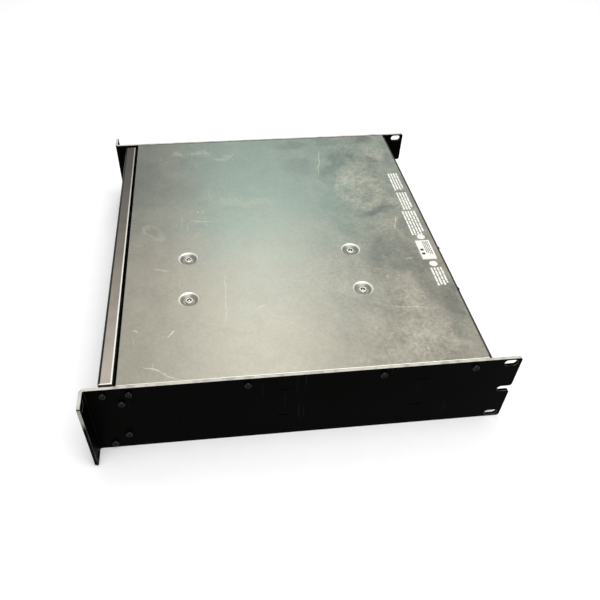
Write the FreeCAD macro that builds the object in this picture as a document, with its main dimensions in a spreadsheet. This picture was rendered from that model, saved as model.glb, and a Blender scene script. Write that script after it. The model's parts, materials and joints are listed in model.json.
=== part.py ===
"""Two-unit rack power amplifier, as a parametric document of separate pieces.

The front faces -Y and +Z is up.  The origin is the centre of the underside.
Every size is in millimetres.
"""
import FreeCAD, Part
import math
import os
from types import SimpleNamespace

import Sketcher

Vector = FreeCAD.Vector

# ---------------------------------------------------------------- driving dimensions
# "_at" is a distance behind the front face of the rack ears.
DIMENSIONS = {
    # case
    "rack_width": 482.6,
    "panel_height": 88.1,
    "ear_reach": 20.4,
    "case_depth": 409.8,
    "side_sheet": 3.0,
    "ear_bend": 1.5,
    "ear_corner": 3.0,
    "slot_edge": 8.75,
    "slot_pitch": 76.2,
    "ear_slot_length": 12.0,
    "ear_slot_width": 6.8,
    "rear_slot_length": 13.2,
    "rear_slot_width": 7.6,
    "rear_slot_inset": 10.2,
    "open_slot_inset": 13.8,
    "step_at": 29.6,
    "cover_front_at": 32.0,
    "cover_back_at": 378.5,
    "rear_face_at": 382.0,
    "cover_sheet": 1.2,
    "cover_bend": 1.0,
    "cover_flange": 14.0,
    "cover_flange_past": 6.0,
    "fit_gap": 0.4,
    # screws through the side panels
    "screw_shank_radius": 1.75,
    "screw_head_radius": 3.4,
    "screw_head_height": 2.2,
    "screw_length": 8.0,
    "hole_clearance": 0.2,
    "thread_clearance": 0.03,
    "cover_screw_drop": 7.9,
    "cover_screw_1_at": 42.3,
    "cover_screw_2_at": 149.7,
    "cover_screw_3_at": 276.6,
    "cover_screw_4_at": 365.1,
    "panel_screw_at": 18.9,
    "panel_screw_pitch": 72.2,
    "rail_screw_at": 34.0,
    "rail_screw_pitch": 46.8,
    "pilot_hole_at": 83.2,
    "pilot_hole_height": 34.2,
    "pilot_hole_radius": 1.0,
    # dimples of the cover, over the heat sink tunnel
    "tunnel_centre": 75.25,
    "dimple_span": 66.6,
    "dimple_front_at": 98.3,
    "dimple_pitch": 181.8,
    "dimple_radius": 10.75,
    "dimple_floor_radius": 6.2,
    "dimple_depth": 3.4,
    "dimple_screw_radius": 3.9,
    # front panel, sub-panel and tray
    "front_recess": 15.0,
    "front_sheet": 1.5,
    "front_bend": 2.0,
    "front_flange": 13.1,
    "front_side_gap": 3.7,
    "spacer_wall": 2.2,
    "front_edge_gap": 0.8,
    "vent_first": 24.0,
    "vent_pitch": 6.0,
    "vent_count": 30.0,
    "vent_width": 3.0,
    "vent_height": 52.0,
    "tray_sheet": 1.5,
    "tray_front_gap": 0.7,
    "tray_flange": 12.0,
    "tray_fan_gap": 4.0,
    "rail_sheet": 1.5,
    "rail_front_gap": 1.0,
    "rail_web_at": 40.0,
    "rail_shoulder": 5.5,
    "rail_top_gap": 2.0,
    "rail_foot_inset": 4.9,
    "rail_foot_edge": 25.0,
    "window_width": 92.0,
    "window_low": 4.0,
    "window_drop": 10.1,
    "rear_sheet": 1.5,
    "rear_screw_height": 7.0,
    "rear_screw_edge": 8.0,
    "rear_screw_shift": 20.0,
    "flat_head_radius": 3.2,
    "rear_flange": 12.0,
    "rear_bend": 1.2,
    # tabbed braces along the side panels
    "brace_front_at": 184.0,
    "brace_rear_at": 315.0,
    "brace_low": 31.0,
    "brace_pitch": 38.4,
    "brace_sheet": 1.5,
    "brace_depth": 14.0,
    "brace_length": 40.0,
    "tab_length": 12.4,
    "tab_clearance": 0.15,
    # gain controls
    "knob_1_x": -120.0,
    "knob_2_x": -62.0,
    "knob_height": 36.0,
    "knob_radius": 9.5,
    "knob_depth": 11.0,
    "knob_gap": 0.6,
    "shaft_radius": 3.0,
    "shaft_clearance": 0.05,
    "bush_wall": 0.6,
    "pot_radius": 8.5,
    "pot_depth": 12.0,
    "pot_nut_wall": 1.9,
    "pot_nut_depth": 2.0,
    "board_sheet": 1.6,
    # indicator lamps
    "led_radius": 1.5,
    "led_pitch": 9.0,
    "led_x_offset": 26.0,
    # power switch
    "switch_inset": 30.9,
    "switch_height": 40.0,
    "switch_width": 13.0,
    "switch_tall": 19.4,
    "switch_depth": 18.0,
    "bezel_lip": 1.4,
    "bezel_proud": 1.6,
    "rocker_width": 10.0,
    "rocker_radius": 8.0,
    "rocker_tilt": 9.0,
    "rocker_pivot_at": 3.0,
    "rocker_pin_length": 1.2,
    "switch_back_wall": 3.0,
    "rocker_pin_radius": 1.2,
    "rocker_gap": 0.5,
    # fan, guard and duct
    "fan_size": 80.0,
    "fan_depth": 25.0,
    "fan_rim": 2.0,
    "fan_height": 43.0,
    "fan_hole_edge": 8.5,
    "fan_hub_radius": 16.0,
    "fan_strut": 3.0,
    "fan_axle_radius": 1.5,
    "fan_axle_length": 10.0,
    "fan_hub_gap": 2.0,
    "blade_gap": 1.2,
    "blade_sheet": 1.4,
    "blade_lean": 7.0,
    "blade_count": 7.0,
    "duct_wall": 1.5,
    "guard_wire": 0.9,
    "guard_eye_wall": 0.8,
    "guard_screw_gap": 0.3,
    "duct_gap": 0.3,
    # rear connectors
    "input_1_inset": 34.9,
    "input_2_inset": 70.9,
    "input_height": 52.0,
    "connector_width": 26.0,
    "connector_tall": 31.0,
    "connector_sheet": 2.0,
    "connector_body_radius": 11.6,
    "connector_body_depth": 24.0,
    "connector_screw_x": 19.0,
    "connector_screw_z": 24.0,
    "plug_ring_radius": 9.6,
    "plug_core_radius": 7.8,
    "contact_radius": 1.3,
    "contact_circle": 3.8,
    "plug_depth": 12.0,
    "contact_depth": 10.0,
    "connector_rim": 1.5,
    "latch_width": 6.0,
    "latch_thickness": 2.2,
    "latch_proud": 2.4,
    "latch_height": 12.8,
    "latch_side_gap": 0.6,
    "latch_face_gap": 0.4,
    "latch_tail": 6.0,
    "speaker_1_x": -42.0,
    "speaker_2_x": -6.0,
    "speaker_height": 44.0,
    "speaker_body_radius": 12.7,
    "speaker_mouth_radius": 11.6,
    "speaker_core_radius": 6.0,
    "speaker_mouth_depth": 16.0,
    "speaker_back_wall": 6.0,
    "speaker_core_bore": 2.6,
    "mode_switch_x": -104.0,
    "mode_switch_height": 44.0,
    "inlet_inset": 54.9,
    "inlet_height": 34.0,
    "inlet_screw_pitch": 40.0,
    "inlet_body_width": 27.2,
    "inlet_body_tall": 20.0,
    "inlet_mouth_width": 24.4,
    "inlet_mouth_tall": 16.8,
    "inlet_mouth_depth": 16.0,
    "inlet_mouth_corner": 4.6,
    "inlet_flange_past": 9.0,
    "inlet_flange_tall": 23.0,
    "inlet_wall": 4.0,
    "inlet_pin_width": 2.0,
    "inlet_pin_tall": 4.0,
    "inlet_pin_pitch": 14.0,
    "inlet_pin_recess": 2.5,
    "inlet_earth_rise": 0.5,
    "inlet_tag_length": 8.0,
    "mode_screw_pitch": 19.0,
    "mode_window_width": 13.0,
    "mode_window_tall": 6.0,
    "slider_travel": 3.0,
    "slider_width": 4.6,
    "slider_tall": 3.8,
    "slider_proud": 2.0,
    "slider_side_gap": 0.4,
    "slider_face_gap": 0.3,
    "mode_plate": 0.8,
    "mode_can_depth": 8.0,
    "breaker_bush_radius": 5.0,
    "breaker_collar": 5.0,
    "breaker_width": 15.0,
    "breaker_tall": 30.0,
    "breaker_depth": 26.0,
    "breaker_button_radius": 3.2,
    "breaker_button_length": 14.5,
    "breaker_nut_wall": 2.6,
    "breaker_nut_depth": 2.4,
    "breaker_inset": 20.9,
    "breaker_height": 34.0,
    # heat sinks and power devices
    "sink_front_overrun": 10.3,
    "sink_back_overrun": 10.9,
    "sink_half_width": 42.0,
    "sink_base": 6.0,
    "sink_rail": 8.0,
    "sink_rail_width": 18.0,
    "fin_thickness": 1.6,
    "fin_count": 9.0,
    "fin_tip_gap": 1.0,
    "device_width": 16.0,
    "device_tall": 20.0,
    "device_depth": 5.0,
    "device_pitch": 36.0,
    "device_first": 28.0,
    "device_board_gap": 3.0,
    # mains transformer
    "core_x": -95.0,
    "core_at": 134.0,
    "core_radius": 64.0,
    "core_hole_radius": 18.0,
    "core_tall": 58.0,
    "core_round": 9.0,
    "pad_sheet": 2.0,
    "clamp_sheet": 3.0,
    "clamp_radius": 34.0,
    "bolt_radius": 4.0,
    # boards
    "standoff_tall": 10.0,
    "standoff_radius": 3.0,
    "pillar_inset": 5.0,
    "rectifier_side": 28.0,
    "rectifier_tall": 11.0,
    "capacitor_radius": 15.0,
    "capacitor_tall": 50.0,
}


class Size:
    """A length that remembers the sheet formula that gives it."""

    def __init__(self, number, formula):
        self.number = number
        self.formula = formula

    def __add__(self, other):
        other = as_size(other)
        return Size(self.number + other.number, f"({self.formula} + {other.formula})")

    def __sub__(self, other):
        other = as_size(other)
        return Size(self.number - other.number, f"({self.formula} - {other.formula})")

    def __mul__(self, other):
        other = as_size(other)
        return Size(self.number * other.number, f"({self.formula} * {other.formula})")

    def __truediv__(self, other):
        other = as_size(other)
        return Size(self.number / other.number, f"({self.formula} / {other.formula})")

    def __radd__(self, other):
        return as_size(other) + self

    def __rsub__(self, other):
        return as_size(other) - self

    def __rmul__(self, other):
        return as_size(other) * self

    def __neg__(self):
        return as_size(0) - self


def as_size(value):
    """A plain number as a Size, so that formulas can mix both."""
    if isinstance(value, Size):
        return value
    return Size(float(value), f"({float(value)})")


doc = FreeCAD.newDocument("PowerAmplifier")


def make_sheet():
    """Write the driving dimensions and return them as named sizes."""
    sheet = doc.addObject("Spreadsheet::Sheet", "Dims")
    sizes = {}
    for row, (name, number) in enumerate(DIMENSIONS.items(), 1):
        sheet.set(f"A{row}", name)
        sheet.set(f"B{row}", str(number))
        sheet.setAlias(f"B{row}", name)
        sizes[name] = Size(number, f"Dims.{name}")
    doc.recompute()
    return SimpleNamespace(**sizes)


d = make_sheet()

# ---------------------------------------------------------------- shared places
half_rack = d.rack_width / 2
half_case = half_rack - d.ear_reach
side_inner = half_case - d.side_sheet
ear_plane = -d.case_depth / 2
mid_height = d.panel_height / 2
cover_under = d.panel_height - d.cover_sheet
cover_screw_height = d.panel_height - d.cover_screw_drop
window_high = d.panel_height - d.window_drop
switch_x = d.switch_inset - half_case
input_1_x = d.input_1_inset - half_case
input_2_x = d.input_2_inset - half_case
inlet_x = half_case - d.inlet_inset
breaker_x = half_case - d.breaker_inset
bush_radius = d.shaft_radius + d.bush_wall
pot_nut_radius = bush_radius + d.pot_nut_wall
fan_bore_radius = d.fan_size / 2 - d.fan_rim
fan_hole_pitch = d.fan_size - d.fan_hole_edge
slot_low = mid_height - d.slot_pitch / 2
slot_high = mid_height + d.slot_pitch / 2


def behind(distance):
    """Y of a place this far behind the front face of the ears."""
    return ear_plane + distance


front_face = behind(d.front_recess)
front_inner = front_face + d.front_sheet
front_flange_back = front_face + d.front_flange
rear_face = behind(d.rear_face_at)
rear_inner = rear_face - d.rear_sheet
panel_half = side_inner - d.front_side_gap
loose_half = side_inner - d.fit_gap
sink_front = behind(d.dimple_front_at - d.sink_front_overrun)
sink_back = behind(d.dimple_front_at + d.dimple_pitch + d.sink_back_overrun)
sink_top = cover_under - d.dimple_depth
board_low = d.tray_sheet + d.standoff_tall
pot_back = front_inner + d.pot_depth
board_back = pot_back + d.board_sheet
switch_pivot = front_face + d.rocker_pivot_at
dimple_places = [(d.tunnel_centre + x * d.dimple_span / 2, behind(d.dimple_front_at) + y * d.dimple_pitch)
                 for x in (-1, 1) for y in (0, 1)]
cover_screws_at = (d.cover_screw_1_at, d.cover_screw_2_at, d.cover_screw_3_at, d.cover_screw_4_at)
panel_screw_heights = (mid_height - d.panel_screw_pitch / 2, mid_height + d.panel_screw_pitch / 2)
rail_screw_heights = (mid_height - d.rail_screw_pitch / 2, mid_height + d.rail_screw_pitch / 2)
side_screw_places = ([(behind(at), cover_screw_height) for at in cover_screws_at]
                     + [(behind(d.panel_screw_at), height) for height in panel_screw_heights]
                     + [(behind(d.rail_screw_at), height) for height in rail_screw_heights])
rail_half = loose_half - d.rail_shoulder
rail_front = front_flange_back + d.rail_front_gap
rail_foot_y = rail_front + d.rail_foot_inset
rail_foot_reach = rail_half - d.rail_foot_edge
rail_foot_places = [(x, rail_foot_y) for x in (-rail_foot_reach, as_size(0), rail_foot_reach)]
tray_screw_places = dimple_places + rail_foot_places
rear_screw_reach = rail_half - d.rear_screw_edge
rear_screw_xs = (-rear_screw_reach, d.core_x + d.rear_screw_shift, as_size(0), rear_screw_reach)
brace_places = (behind(d.brace_front_at), behind(d.brace_rear_at))
brace_heights = (d.brace_low, d.brace_low + d.brace_pitch)

# ---------------------------------------------------------------- drawing tools
PLANES = {"x": ("YZ_Plane", 1), "y": ("XZ_Plane", -1), "z": ("XY_Plane", 1)}


def bind(thing, prop, size):
    """Tie a property to the sheet."""
    thing.setExpression(prop, as_size(size).formula)


def place(thing, at, rotation=None):
    """Put a piece at a bound place, turned by a fixed rotation."""
    thing.Placement = FreeCAD.Placement(Vector(0, 0, 0), rotation or FreeCAD.Rotation())
    for name, size in zip("xyz", at):
        bind(thing, f"Placement.Base.{name}", size)


class Polygon:
    """A closed outline of straight sides through bound points."""

    def __init__(self, points):
        self.points = [(as_size(x), as_size(y)) for x, y in points]

    def draw(self, sketch):
        first = len(sketch.Geometry)
        count = len(self.points)
        corners = [Vector(x.number, y.number, 0) for x, y in self.points]
        for i in range(count):
            sketch.addGeometry(Part.LineSegment(corners[i], corners[(i + 1) % count]), False)
        for i, (x, y) in enumerate(self.points):
            after = first + (i + 1) % count
            sketch.addConstraint(Sketcher.Constraint("Coincident", first + i, 2, after, 1))
            pin(sketch, first + i, 1, x, y)


class Circle:
    """A circle with a bound centre and radius."""

    def __init__(self, x, y, radius):
        self.x = as_size(x)
        self.y = as_size(y)
        self.radius = as_size(radius)

    def draw(self, sketch):
        index = len(sketch.Geometry)
        centre = Vector(self.x.number, self.y.number, 0)
        sketch.addGeometry(Part.Circle(centre, Vector(0, 0, 1), self.radius.number), False)
        pin(sketch, index, 3, self.x, self.y)
        limit(sketch, Sketcher.Constraint("Radius", index, self.radius.number), self.radius)


class Oblong:
    """A slot with round ends that runs along the sketch's first axis."""

    def __init__(self, x, y, length, width):
        self.x = as_size(x)
        self.y = as_size(y)
        self.reach = (as_size(length) - width) / 2
        self.radius = as_size(width) / 2

    def draw(self, sketch):
        left = len(sketch.Geometry)
        right, low, high = left + 1, left + 2, left + 3
        x, y = self.x.number, self.y.number
        reach, radius = self.reach.number, self.radius.number
        quarter = math.pi / 2
        for centre, start in ((x - reach, quarter), (x + reach, -quarter)):
            round_end = Part.Circle(Vector(centre, y, 0), Vector(0, 0, 1), radius)
            sketch.addGeometry(Part.ArcOfCircle(round_end, start, start + math.pi), False)
        for side, edge in ((1, y - radius), (-1, y + radius)):
            start, end = Vector(x - side * reach, edge, 0), Vector(x + side * reach, edge, 0)
            sketch.addGeometry(Part.LineSegment(start, end), False)
        for one, other in ((left, low), (low, right), (right, high), (high, left)):
            sketch.addConstraint(Sketcher.Constraint("Tangent", one, 2, other, 1))
        pin(sketch, left, 3, self.x - self.reach, self.y)
        bound = sketch.addConstraint(Sketcher.Constraint("DistanceX", -1, 1, right, 3, x + reach))
        sketch.setExpression(f"Constraints[{bound}]", (self.x + self.reach).formula)
        limit(sketch, Sketcher.Constraint("Radius", left, radius), self.radius)


def limit(sketch, constraint, size):
    """Add a constraint whose value comes from the sheet."""
    index = sketch.addConstraint(constraint)
    sketch.setExpression(f"Constraints[{index}]", size.formula)


def pin(sketch, geometry, point, x, y):
    """Hold a sketch point at a bound distance from the sketch's origin."""
    limit(sketch, Sketcher.Constraint("DistanceX", -1, 1, geometry, point, x.number), x)
    limit(sketch, Sketcher.Constraint("DistanceY", -1, 1, geometry, point, y.number), y)


def rectangle(x, y):
    """A rectangle between two pairs of bounds."""
    return Polygon([(x[0], y[0]), (x[1], y[0]), (x[1], y[1]), (x[0], y[1])])


def around(centre, width):
    """The bounds of a width about a centre."""
    half = as_size(width) / 2
    return centre - half, centre + half


def mirrored(side, inner, outer):
    """The X bounds of a slab on the right (side 1) or the left (side -1)."""
    return (as_size(inner), as_size(outer)) if side > 0 else (-as_size(outer), -as_size(inner))


def new_body(label):
    """An empty body that will be one piece."""
    body = doc.addObject("PartDesign::Body", label)
    body.Label = label
    return body


def new_sketch(body, axis, at, outlines, origin=(0, 0)):
    """Draw outlines on the body's plane that faces an axis, at a bound place along it."""
    plane, sign = PLANES[axis]
    sketch = body.newObject("Sketcher::SketchObject", body.Label + "_sketch")
    base = [feature for feature in body.Origin.OriginFeatures if feature.Role == plane][0]
    sketch.AttachmentSupport = [(base, "")]
    sketch.MapMode = "FlatFace"
    bind(sketch, "AttachmentOffset.Base.x", origin[0])
    bind(sketch, "AttachmentOffset.Base.y", origin[1])
    bind(sketch, "AttachmentOffset.Base.z", as_size(at) * sign)
    for outline in outlines:
        outline.draw(sketch)
    return sketch


def pad(body, axis, low, high, *outlines):
    """Add material between two bounds along an axis."""
    start = low if PLANES[axis][1] > 0 else high
    feature = body.newObject("PartDesign::Pad", body.Label + "_pad")
    feature.Profile = new_sketch(body, axis, start, outlines)
    bind(feature, "Length", as_size(high) - low)
    body.Tip = feature
    return feature


def pocket(body, axis, low, high, *outlines):
    """Cut outlines away between two bounds along an axis."""
    start = high if PLANES[axis][1] > 0 else low
    feature = body.newObject("PartDesign::Pocket", body.Label + "_pocket")
    feature.Profile = new_sketch(body, axis, start, outlines)
    bind(feature, "Length", as_size(high) - low)
    body.Tip = feature
    return feature


def revolve(body, axis, at, profile, origin=(0, 0)):
    """Turn a profile of (radius, distance) about its sketch's upright axis."""
    feature = body.newObject("PartDesign::Revolution", body.Label + "_turn")
    feature.Profile = new_sketch(body, axis, at, [Polygon(profile)], origin)
    feature.ReferenceAxis = (feature.Profile[0], ["V_Axis"])
    feature.Angle = 360
    body.Tip = feature
    return feature


def polar(body, original, count):
    """Repeat a feature about the body's own Y axis."""
    feature = body.newObject("PartDesign::PolarPattern", body.Label + "_ring")
    feature.Originals = [original]
    feature.Axis = ([part for part in body.Origin.OriginFeatures if part.Role == "Y_Axis"][0], [""])
    feature.Angle = 360
    bind(feature, "Occurrences", count)
    body.Tip = feature
    return feature


def fillet(body, radius, chosen):
    """Round the edges of the body's last feature that a test picks."""
    doc.recompute()
    base = body.Tip
    names = [f"Edge{i}" for i, edge in enumerate(base.Shape.Edges, 1) if chosen(edge)]
    feature = body.newObject("PartDesign::Fillet", body.Label + "_round")
    feature.Base = (base, names)
    bind(feature, "Radius", radius)
    body.Tip = feature
    return feature


def near(value, size):
    """Whether a measured number is at a bound place."""
    return abs(value - as_size(size).number) < 0.01


def runs_along(edge, axis, places):
    """Whether a straight edge runs along an axis through one of the given places."""
    if len(edge.Vertexes) != 2:
        return False
    first, last = edge.Vertexes[0].Point, edge.Vertexes[1].Point
    others = [name for name in "xyz" if name != axis]
    if any(abs(getattr(first, name) - getattr(last, name)) > 0.01 for name in others):
        return False
    return any(all(near(getattr(first, name), at[i]) for i, name in enumerate(others)) for at in places)


def turned(label, profile, at, direction=(0, 1, 0)):
    """A piece turned about its own Y axis and set down along a direction."""
    body = new_body(label)
    revolve(body, "z", 0, profile)
    place(body, at, FreeCAD.Rotation(Vector(0, 1, 0), Vector(*direction)))
    return body


# ---------------------------------------------------------------- primitives
def box(label, x, y, z):
    """A block between three pairs of bounds."""
    solid = doc.addObject("Part::Box", label)
    solid.Label = label
    for prop, bounds in zip(("Length", "Width", "Height"), (x, y, z)):
        bind(solid, prop, as_size(bounds[1]) - bounds[0])
    place(solid, (x[0], y[0], z[0]))
    return solid


def rod(label, radius, length, at, direction=(0, 0, 1)):
    """A cylinder that starts at a place and runs along a direction."""
    solid = doc.addObject("Part::Cylinder", label)
    solid.Label = label
    bind(solid, "Radius", radius)
    bind(solid, "Height", length)
    place(solid, at, FreeCAD.Rotation(Vector(0, 0, 1), Vector(*direction)))
    return solid


def join(label, pieces):
    """One solid made of touching or crossing ones."""
    solid = doc.addObject("Part::MultiFuse", label)
    solid.Label = label
    solid.Shapes = pieces
    return solid


def cut(label, base, tools):
    """A base with tools taken away."""
    solid = doc.addObject("Part::Cut", label)
    solid.Label = label
    solid.Base = base
    solid.Tool = tools[0] if len(tools) == 1 else join(label + "_tools", tools)
    return solid


def group(label, pieces):
    """Separate like solids that share one name."""
    compound = doc.addObject("Part::Compound", label)
    compound.Label = label
    compound.Links = pieces
    return compound


def tube(label, outer, inner, length, at, direction=(0, 1, 0)):
    """A ring or spacer with a through hole."""
    solid = cut(label, rod(label + "_outside", outer, length, (0, 0, 0)),
                [rod(label + "_bore", inner, length, (0, 0, 0))])
    place(solid, at, FreeCAD.Rotation(Vector(0, 0, 1), Vector(*direction)))
    return solid


def hex_nut(label, corner_radius, thread_radius, tall, at, direction):
    """A hexagon nut on a thread."""
    blank = doc.addObject("Part::Prism", label + "_blank")
    blank.Polygon = 6
    bind(blank, "Circumradius", corner_radius)
    bind(blank, "Height", tall)
    nut = cut(label, blank, [rod(label + "_bore", thread_radius + d.thread_clearance, tall, (0, 0, 0))])
    place(nut, at, FreeCAD.Rotation(Vector(0, 0, 1), Vector(*direction)))
    return nut


def screw(label, at, direction, length, head_radius=d.screw_head_radius,
          head_height=d.screw_head_height, radius=d.screw_shank_radius):
    """A round-headed screw with a hexagon socket; its head points along a direction."""
    rim = head_height * 0.45
    head = rod(label + "_head", head_radius, rim, (0, 0, 0))
    crown = doc.addObject("Part::Cone", label + "_crown")
    bind(crown, "Radius1", head_radius)
    bind(crown, "Radius2", head_radius * 0.68)
    bind(crown, "Height", head_height - rim)
    place(crown, (0, 0, rim))
    shank = rod(label + "_shank", radius, length, (0, 0, -length))
    socket = doc.addObject("Part::Prism", label + "_socket")
    socket.Polygon = 6
    bind(socket, "Circumradius", head_radius * 0.36)
    bind(socket, "Height", head_height)
    place(socket, (0, 0, head_height * 0.35))
    solid = cut(label, join(label + "_blank", [head, crown, shank]), [socket])
    place(solid, at, FreeCAD.Rotation(Vector(0, 0, 1), Vector(*direction)))
    return solid


screw_hole = d.screw_shank_radius + d.hole_clearance
thread_hole = d.screw_shank_radius + d.thread_clearance


# ---------------------------------------------------------------- case
def make_side_panel(label, side):
    """A thick side sheet whose front is bent outward into a rack ear."""
    body = new_body(label)
    step = behind(d.step_at)
    rear_end = behind(d.case_depth)
    ear_back = ear_plane + d.side_sheet
    pad(body, "z", 0, d.panel_height, Polygon([
        (side * side_inner, ear_plane), (side * half_rack, ear_plane),
        (side * half_rack, ear_back), (side * half_case, ear_back),
        (side * half_case, step), (side * side_inner, step)]))
    low, high = mirrored(side, side_inner, half_case)
    pad(body, "x", low, high, rectangle((step, rear_end), (0, d.panel_height)))
    pocket(body, "y", ear_plane, ear_back, *[
        Oblong(side * (half_rack - d.slot_edge), height, d.ear_slot_length, d.ear_slot_width)
        for height in (slot_low, slot_high)])
    rear_slots = [Oblong(rear_end - d.rear_slot_inset, height, d.rear_slot_length, d.rear_slot_width)
                  for height in (slot_low, slot_high)]
    open_slot = Oblong(rear_end, mid_height, d.open_slot_inset * 2, d.rear_slot_width)
    holes = [Circle(y, z, screw_hole) for y, z in side_screw_places]
    pilot = Circle(behind(d.pilot_hole_at), d.pilot_hole_height, d.pilot_hole_radius)
    tabs = [rectangle(around(y, d.tab_length + d.tab_clearance * 2),
                      around(z, d.brace_sheet + d.tab_clearance * 2))
            for y in brace_places for z in brace_heights]
    pocket(body, "x", low, high, open_slot, pilot, *rear_slots, *holes, *tabs)
    fillet(body, d.side_sheet + d.ear_bend,
           lambda edge: runs_along(edge, "z", [(side * side_inner, ear_plane)]))
    fillet(body, d.ear_bend,
           lambda edge: runs_along(edge, "z", [(side * half_case, ear_back)]))
    mouth = d.rear_slot_width / 2
    fillet(body, d.ear_corner, lambda edge: runs_along(edge, "x", [
        (rear_end, 0), (rear_end, d.panel_height),
        (rear_end, mid_height - mouth), (rear_end, mid_height + mouth)]))
    fillet(body, d.ear_corner, lambda edge: runs_along(edge, "y", [
        (side * half_rack, 0), (side * half_rack, d.panel_height)]))


def make_top_cover():
    """The flat lid between the side panels: four pressed dimples, and flanges bent down."""
    body = new_body("top_cover")
    front, back = behind(d.cover_front_at), behind(d.cover_back_at)
    pad(body, "z", cover_under, d.panel_height, rectangle((-loose_half, loose_half), (front, back)))
    flange_front = behind(d.cover_screw_1_at - d.cover_flange_past)
    flange_back = behind(d.cover_screw_4_at + d.cover_flange_past)
    pad(body, "z", cover_under - d.cover_flange, cover_under, *[
        rectangle(mirrored(side, loose_half - d.cover_sheet, loose_half), (flange_front, flange_back))
        for side in (-1, 1)])
    pocket(body, "z", cover_under, d.panel_height,
           *[Circle(x, y, d.dimple_radius) for x, y in dimple_places])
    fillet(body, d.cover_bend, lambda edge: runs_along(edge, "y", [
        (-loose_half, d.panel_height), (loose_half, d.panel_height)]))
    floor = d.panel_height - d.dimple_depth
    for x, y in dimple_places:
        revolve(body, "y", y, [
            (d.dimple_radius, d.panel_height), (d.dimple_floor_radius, floor),
            (screw_hole, floor), (screw_hole, floor - d.cover_sheet),
            (d.dimple_floor_radius, floor - d.cover_sheet), (d.dimple_radius, cover_under)],
            origin=(x, 0))
    pocket(body, "x", -loose_half, loose_half, *[
        Circle(behind(at), cover_screw_height, thread_hole) for at in cover_screws_at])

    def on_dish(edge):
        curve = edge.Curve
        if not isinstance(curve, Part.Circle):
            return False
        rim = near(curve.Radius, d.dimple_radius) and near(curve.Center.z, d.panel_height)
        return rim or near(curve.Radius, d.dimple_floor_radius) and near(curve.Center.z, floor)

    fillet(body, d.cover_sheet * 1.6, on_dish)


def make_bottom_tray():
    """The floor of the case, with flanges up against the side panels."""
    body = new_body("bottom_tray")
    front, back = front_flange_back + d.tray_front_gap, rear_inner
    pad(body, "z", 0, d.tray_sheet, rectangle((-side_inner, side_inner), (front, back)))
    pad(body, "z", d.tray_sheet, d.tray_flange, *[
        rectangle(mirrored(side, side_inner - d.tray_sheet, side_inner), (front, back))
        for side in (-1, 1)])
    fan_low, fan_high = around(d.tunnel_centre, d.fan_size + d.tray_fan_gap)
    pad(body, "y", back - d.tray_sheet, back, *[
        rectangle(bounds, (d.tray_sheet, d.tray_flange))
        for bounds in ((-rail_half, fan_low), (fan_high, rail_half))])
    pocket(body, "y", back - d.tray_sheet, back,
           *[Circle(x, d.rear_screw_height, thread_hole) for x in rear_screw_xs])
    holes = body.newObject("PartDesign::Hole", "tray_countersinks")
    holes.Profile = new_sketch(body, "z", 0, [Circle(x, y, screw_hole) for x, y in tray_screw_places])
    doc.recompute()
    holes.DepthType = "ThroughAll"
    holes.Threaded = False
    holes.ThreadType = "None"
    bind(holes, "Diameter", screw_hole * 2)
    holes.HoleCutType = "Countersink"
    bind(holes, "HoleCutDiameter", (d.flat_head_radius + 0.1) * 2)
    holes.HoleCutCountersinkAngle = 90
    holes.Reversed = True
    body.Tip = holes


def make_front_panel():
    """The recessed front: flanges all round, vents and holes for the controls."""
    body = new_body("front_panel")
    low, high = d.front_edge_gap, d.panel_height - d.front_edge_gap
    pad(body, "y", front_face, front_inner, rectangle((-panel_half, panel_half), (low, high)))
    inner = panel_half - d.front_sheet
    pad(body, "y", front_inner, front_flange_back,
        rectangle((-panel_half, panel_half), (low, high)),
        rectangle((-inner, inner), (low + d.front_sheet, high - d.front_sheet)))
    fillet(body, d.front_bend, lambda edge: runs_along(edge, "x", [
        (front_face, low), (front_face, high)]))
    fillet(body, d.front_bend, lambda edge: runs_along(edge, "z", [
        (-panel_half, front_face), (panel_half, front_face)]))
    vent_low = mid_height - d.vent_height / 2
    vent_high = mid_height + d.vent_height / 2
    vent = pocket(body, "y", front_face, front_inner,
                  rectangle((d.vent_first, d.vent_first + d.vent_width), (vent_low, vent_high)))
    vents = body.newObject("PartDesign::LinearPattern", "front_panel_vents")
    vents.Originals = [vent]
    vents.Direction = ([part for part in body.Origin.OriginFeatures if part.Role == "X_Axis"][0], [""])
    bind(vents, "Length", d.vent_pitch * (d.vent_count - 1))
    bind(vents, "Occurrences", d.vent_count)
    body.Tip = vents
    pocket(body, "y", front_face, front_inner,
           *[Circle(x, d.knob_height, bush_radius + d.hole_clearance) for x in (d.knob_1_x, d.knob_2_x)],
           *[Circle(x, z, d.led_radius + d.hole_clearance) for x, z in led_places()],
           rectangle(around(switch_x, d.switch_width + d.fit_gap),
                     around(d.switch_height, d.switch_tall + d.fit_gap)))
    pocket(body, "x", -panel_half, panel_half,
           *[Circle(behind(d.panel_screw_at), z, thread_hole) for z in panel_screw_heights])


def led_places():
    """A column of four lamps beside each knob."""
    return [(x + d.led_x_offset, d.knob_height + d.led_pitch * (row - 1.5))
            for x in (d.knob_1_x, d.knob_2_x) for row in range(4)]


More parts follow.
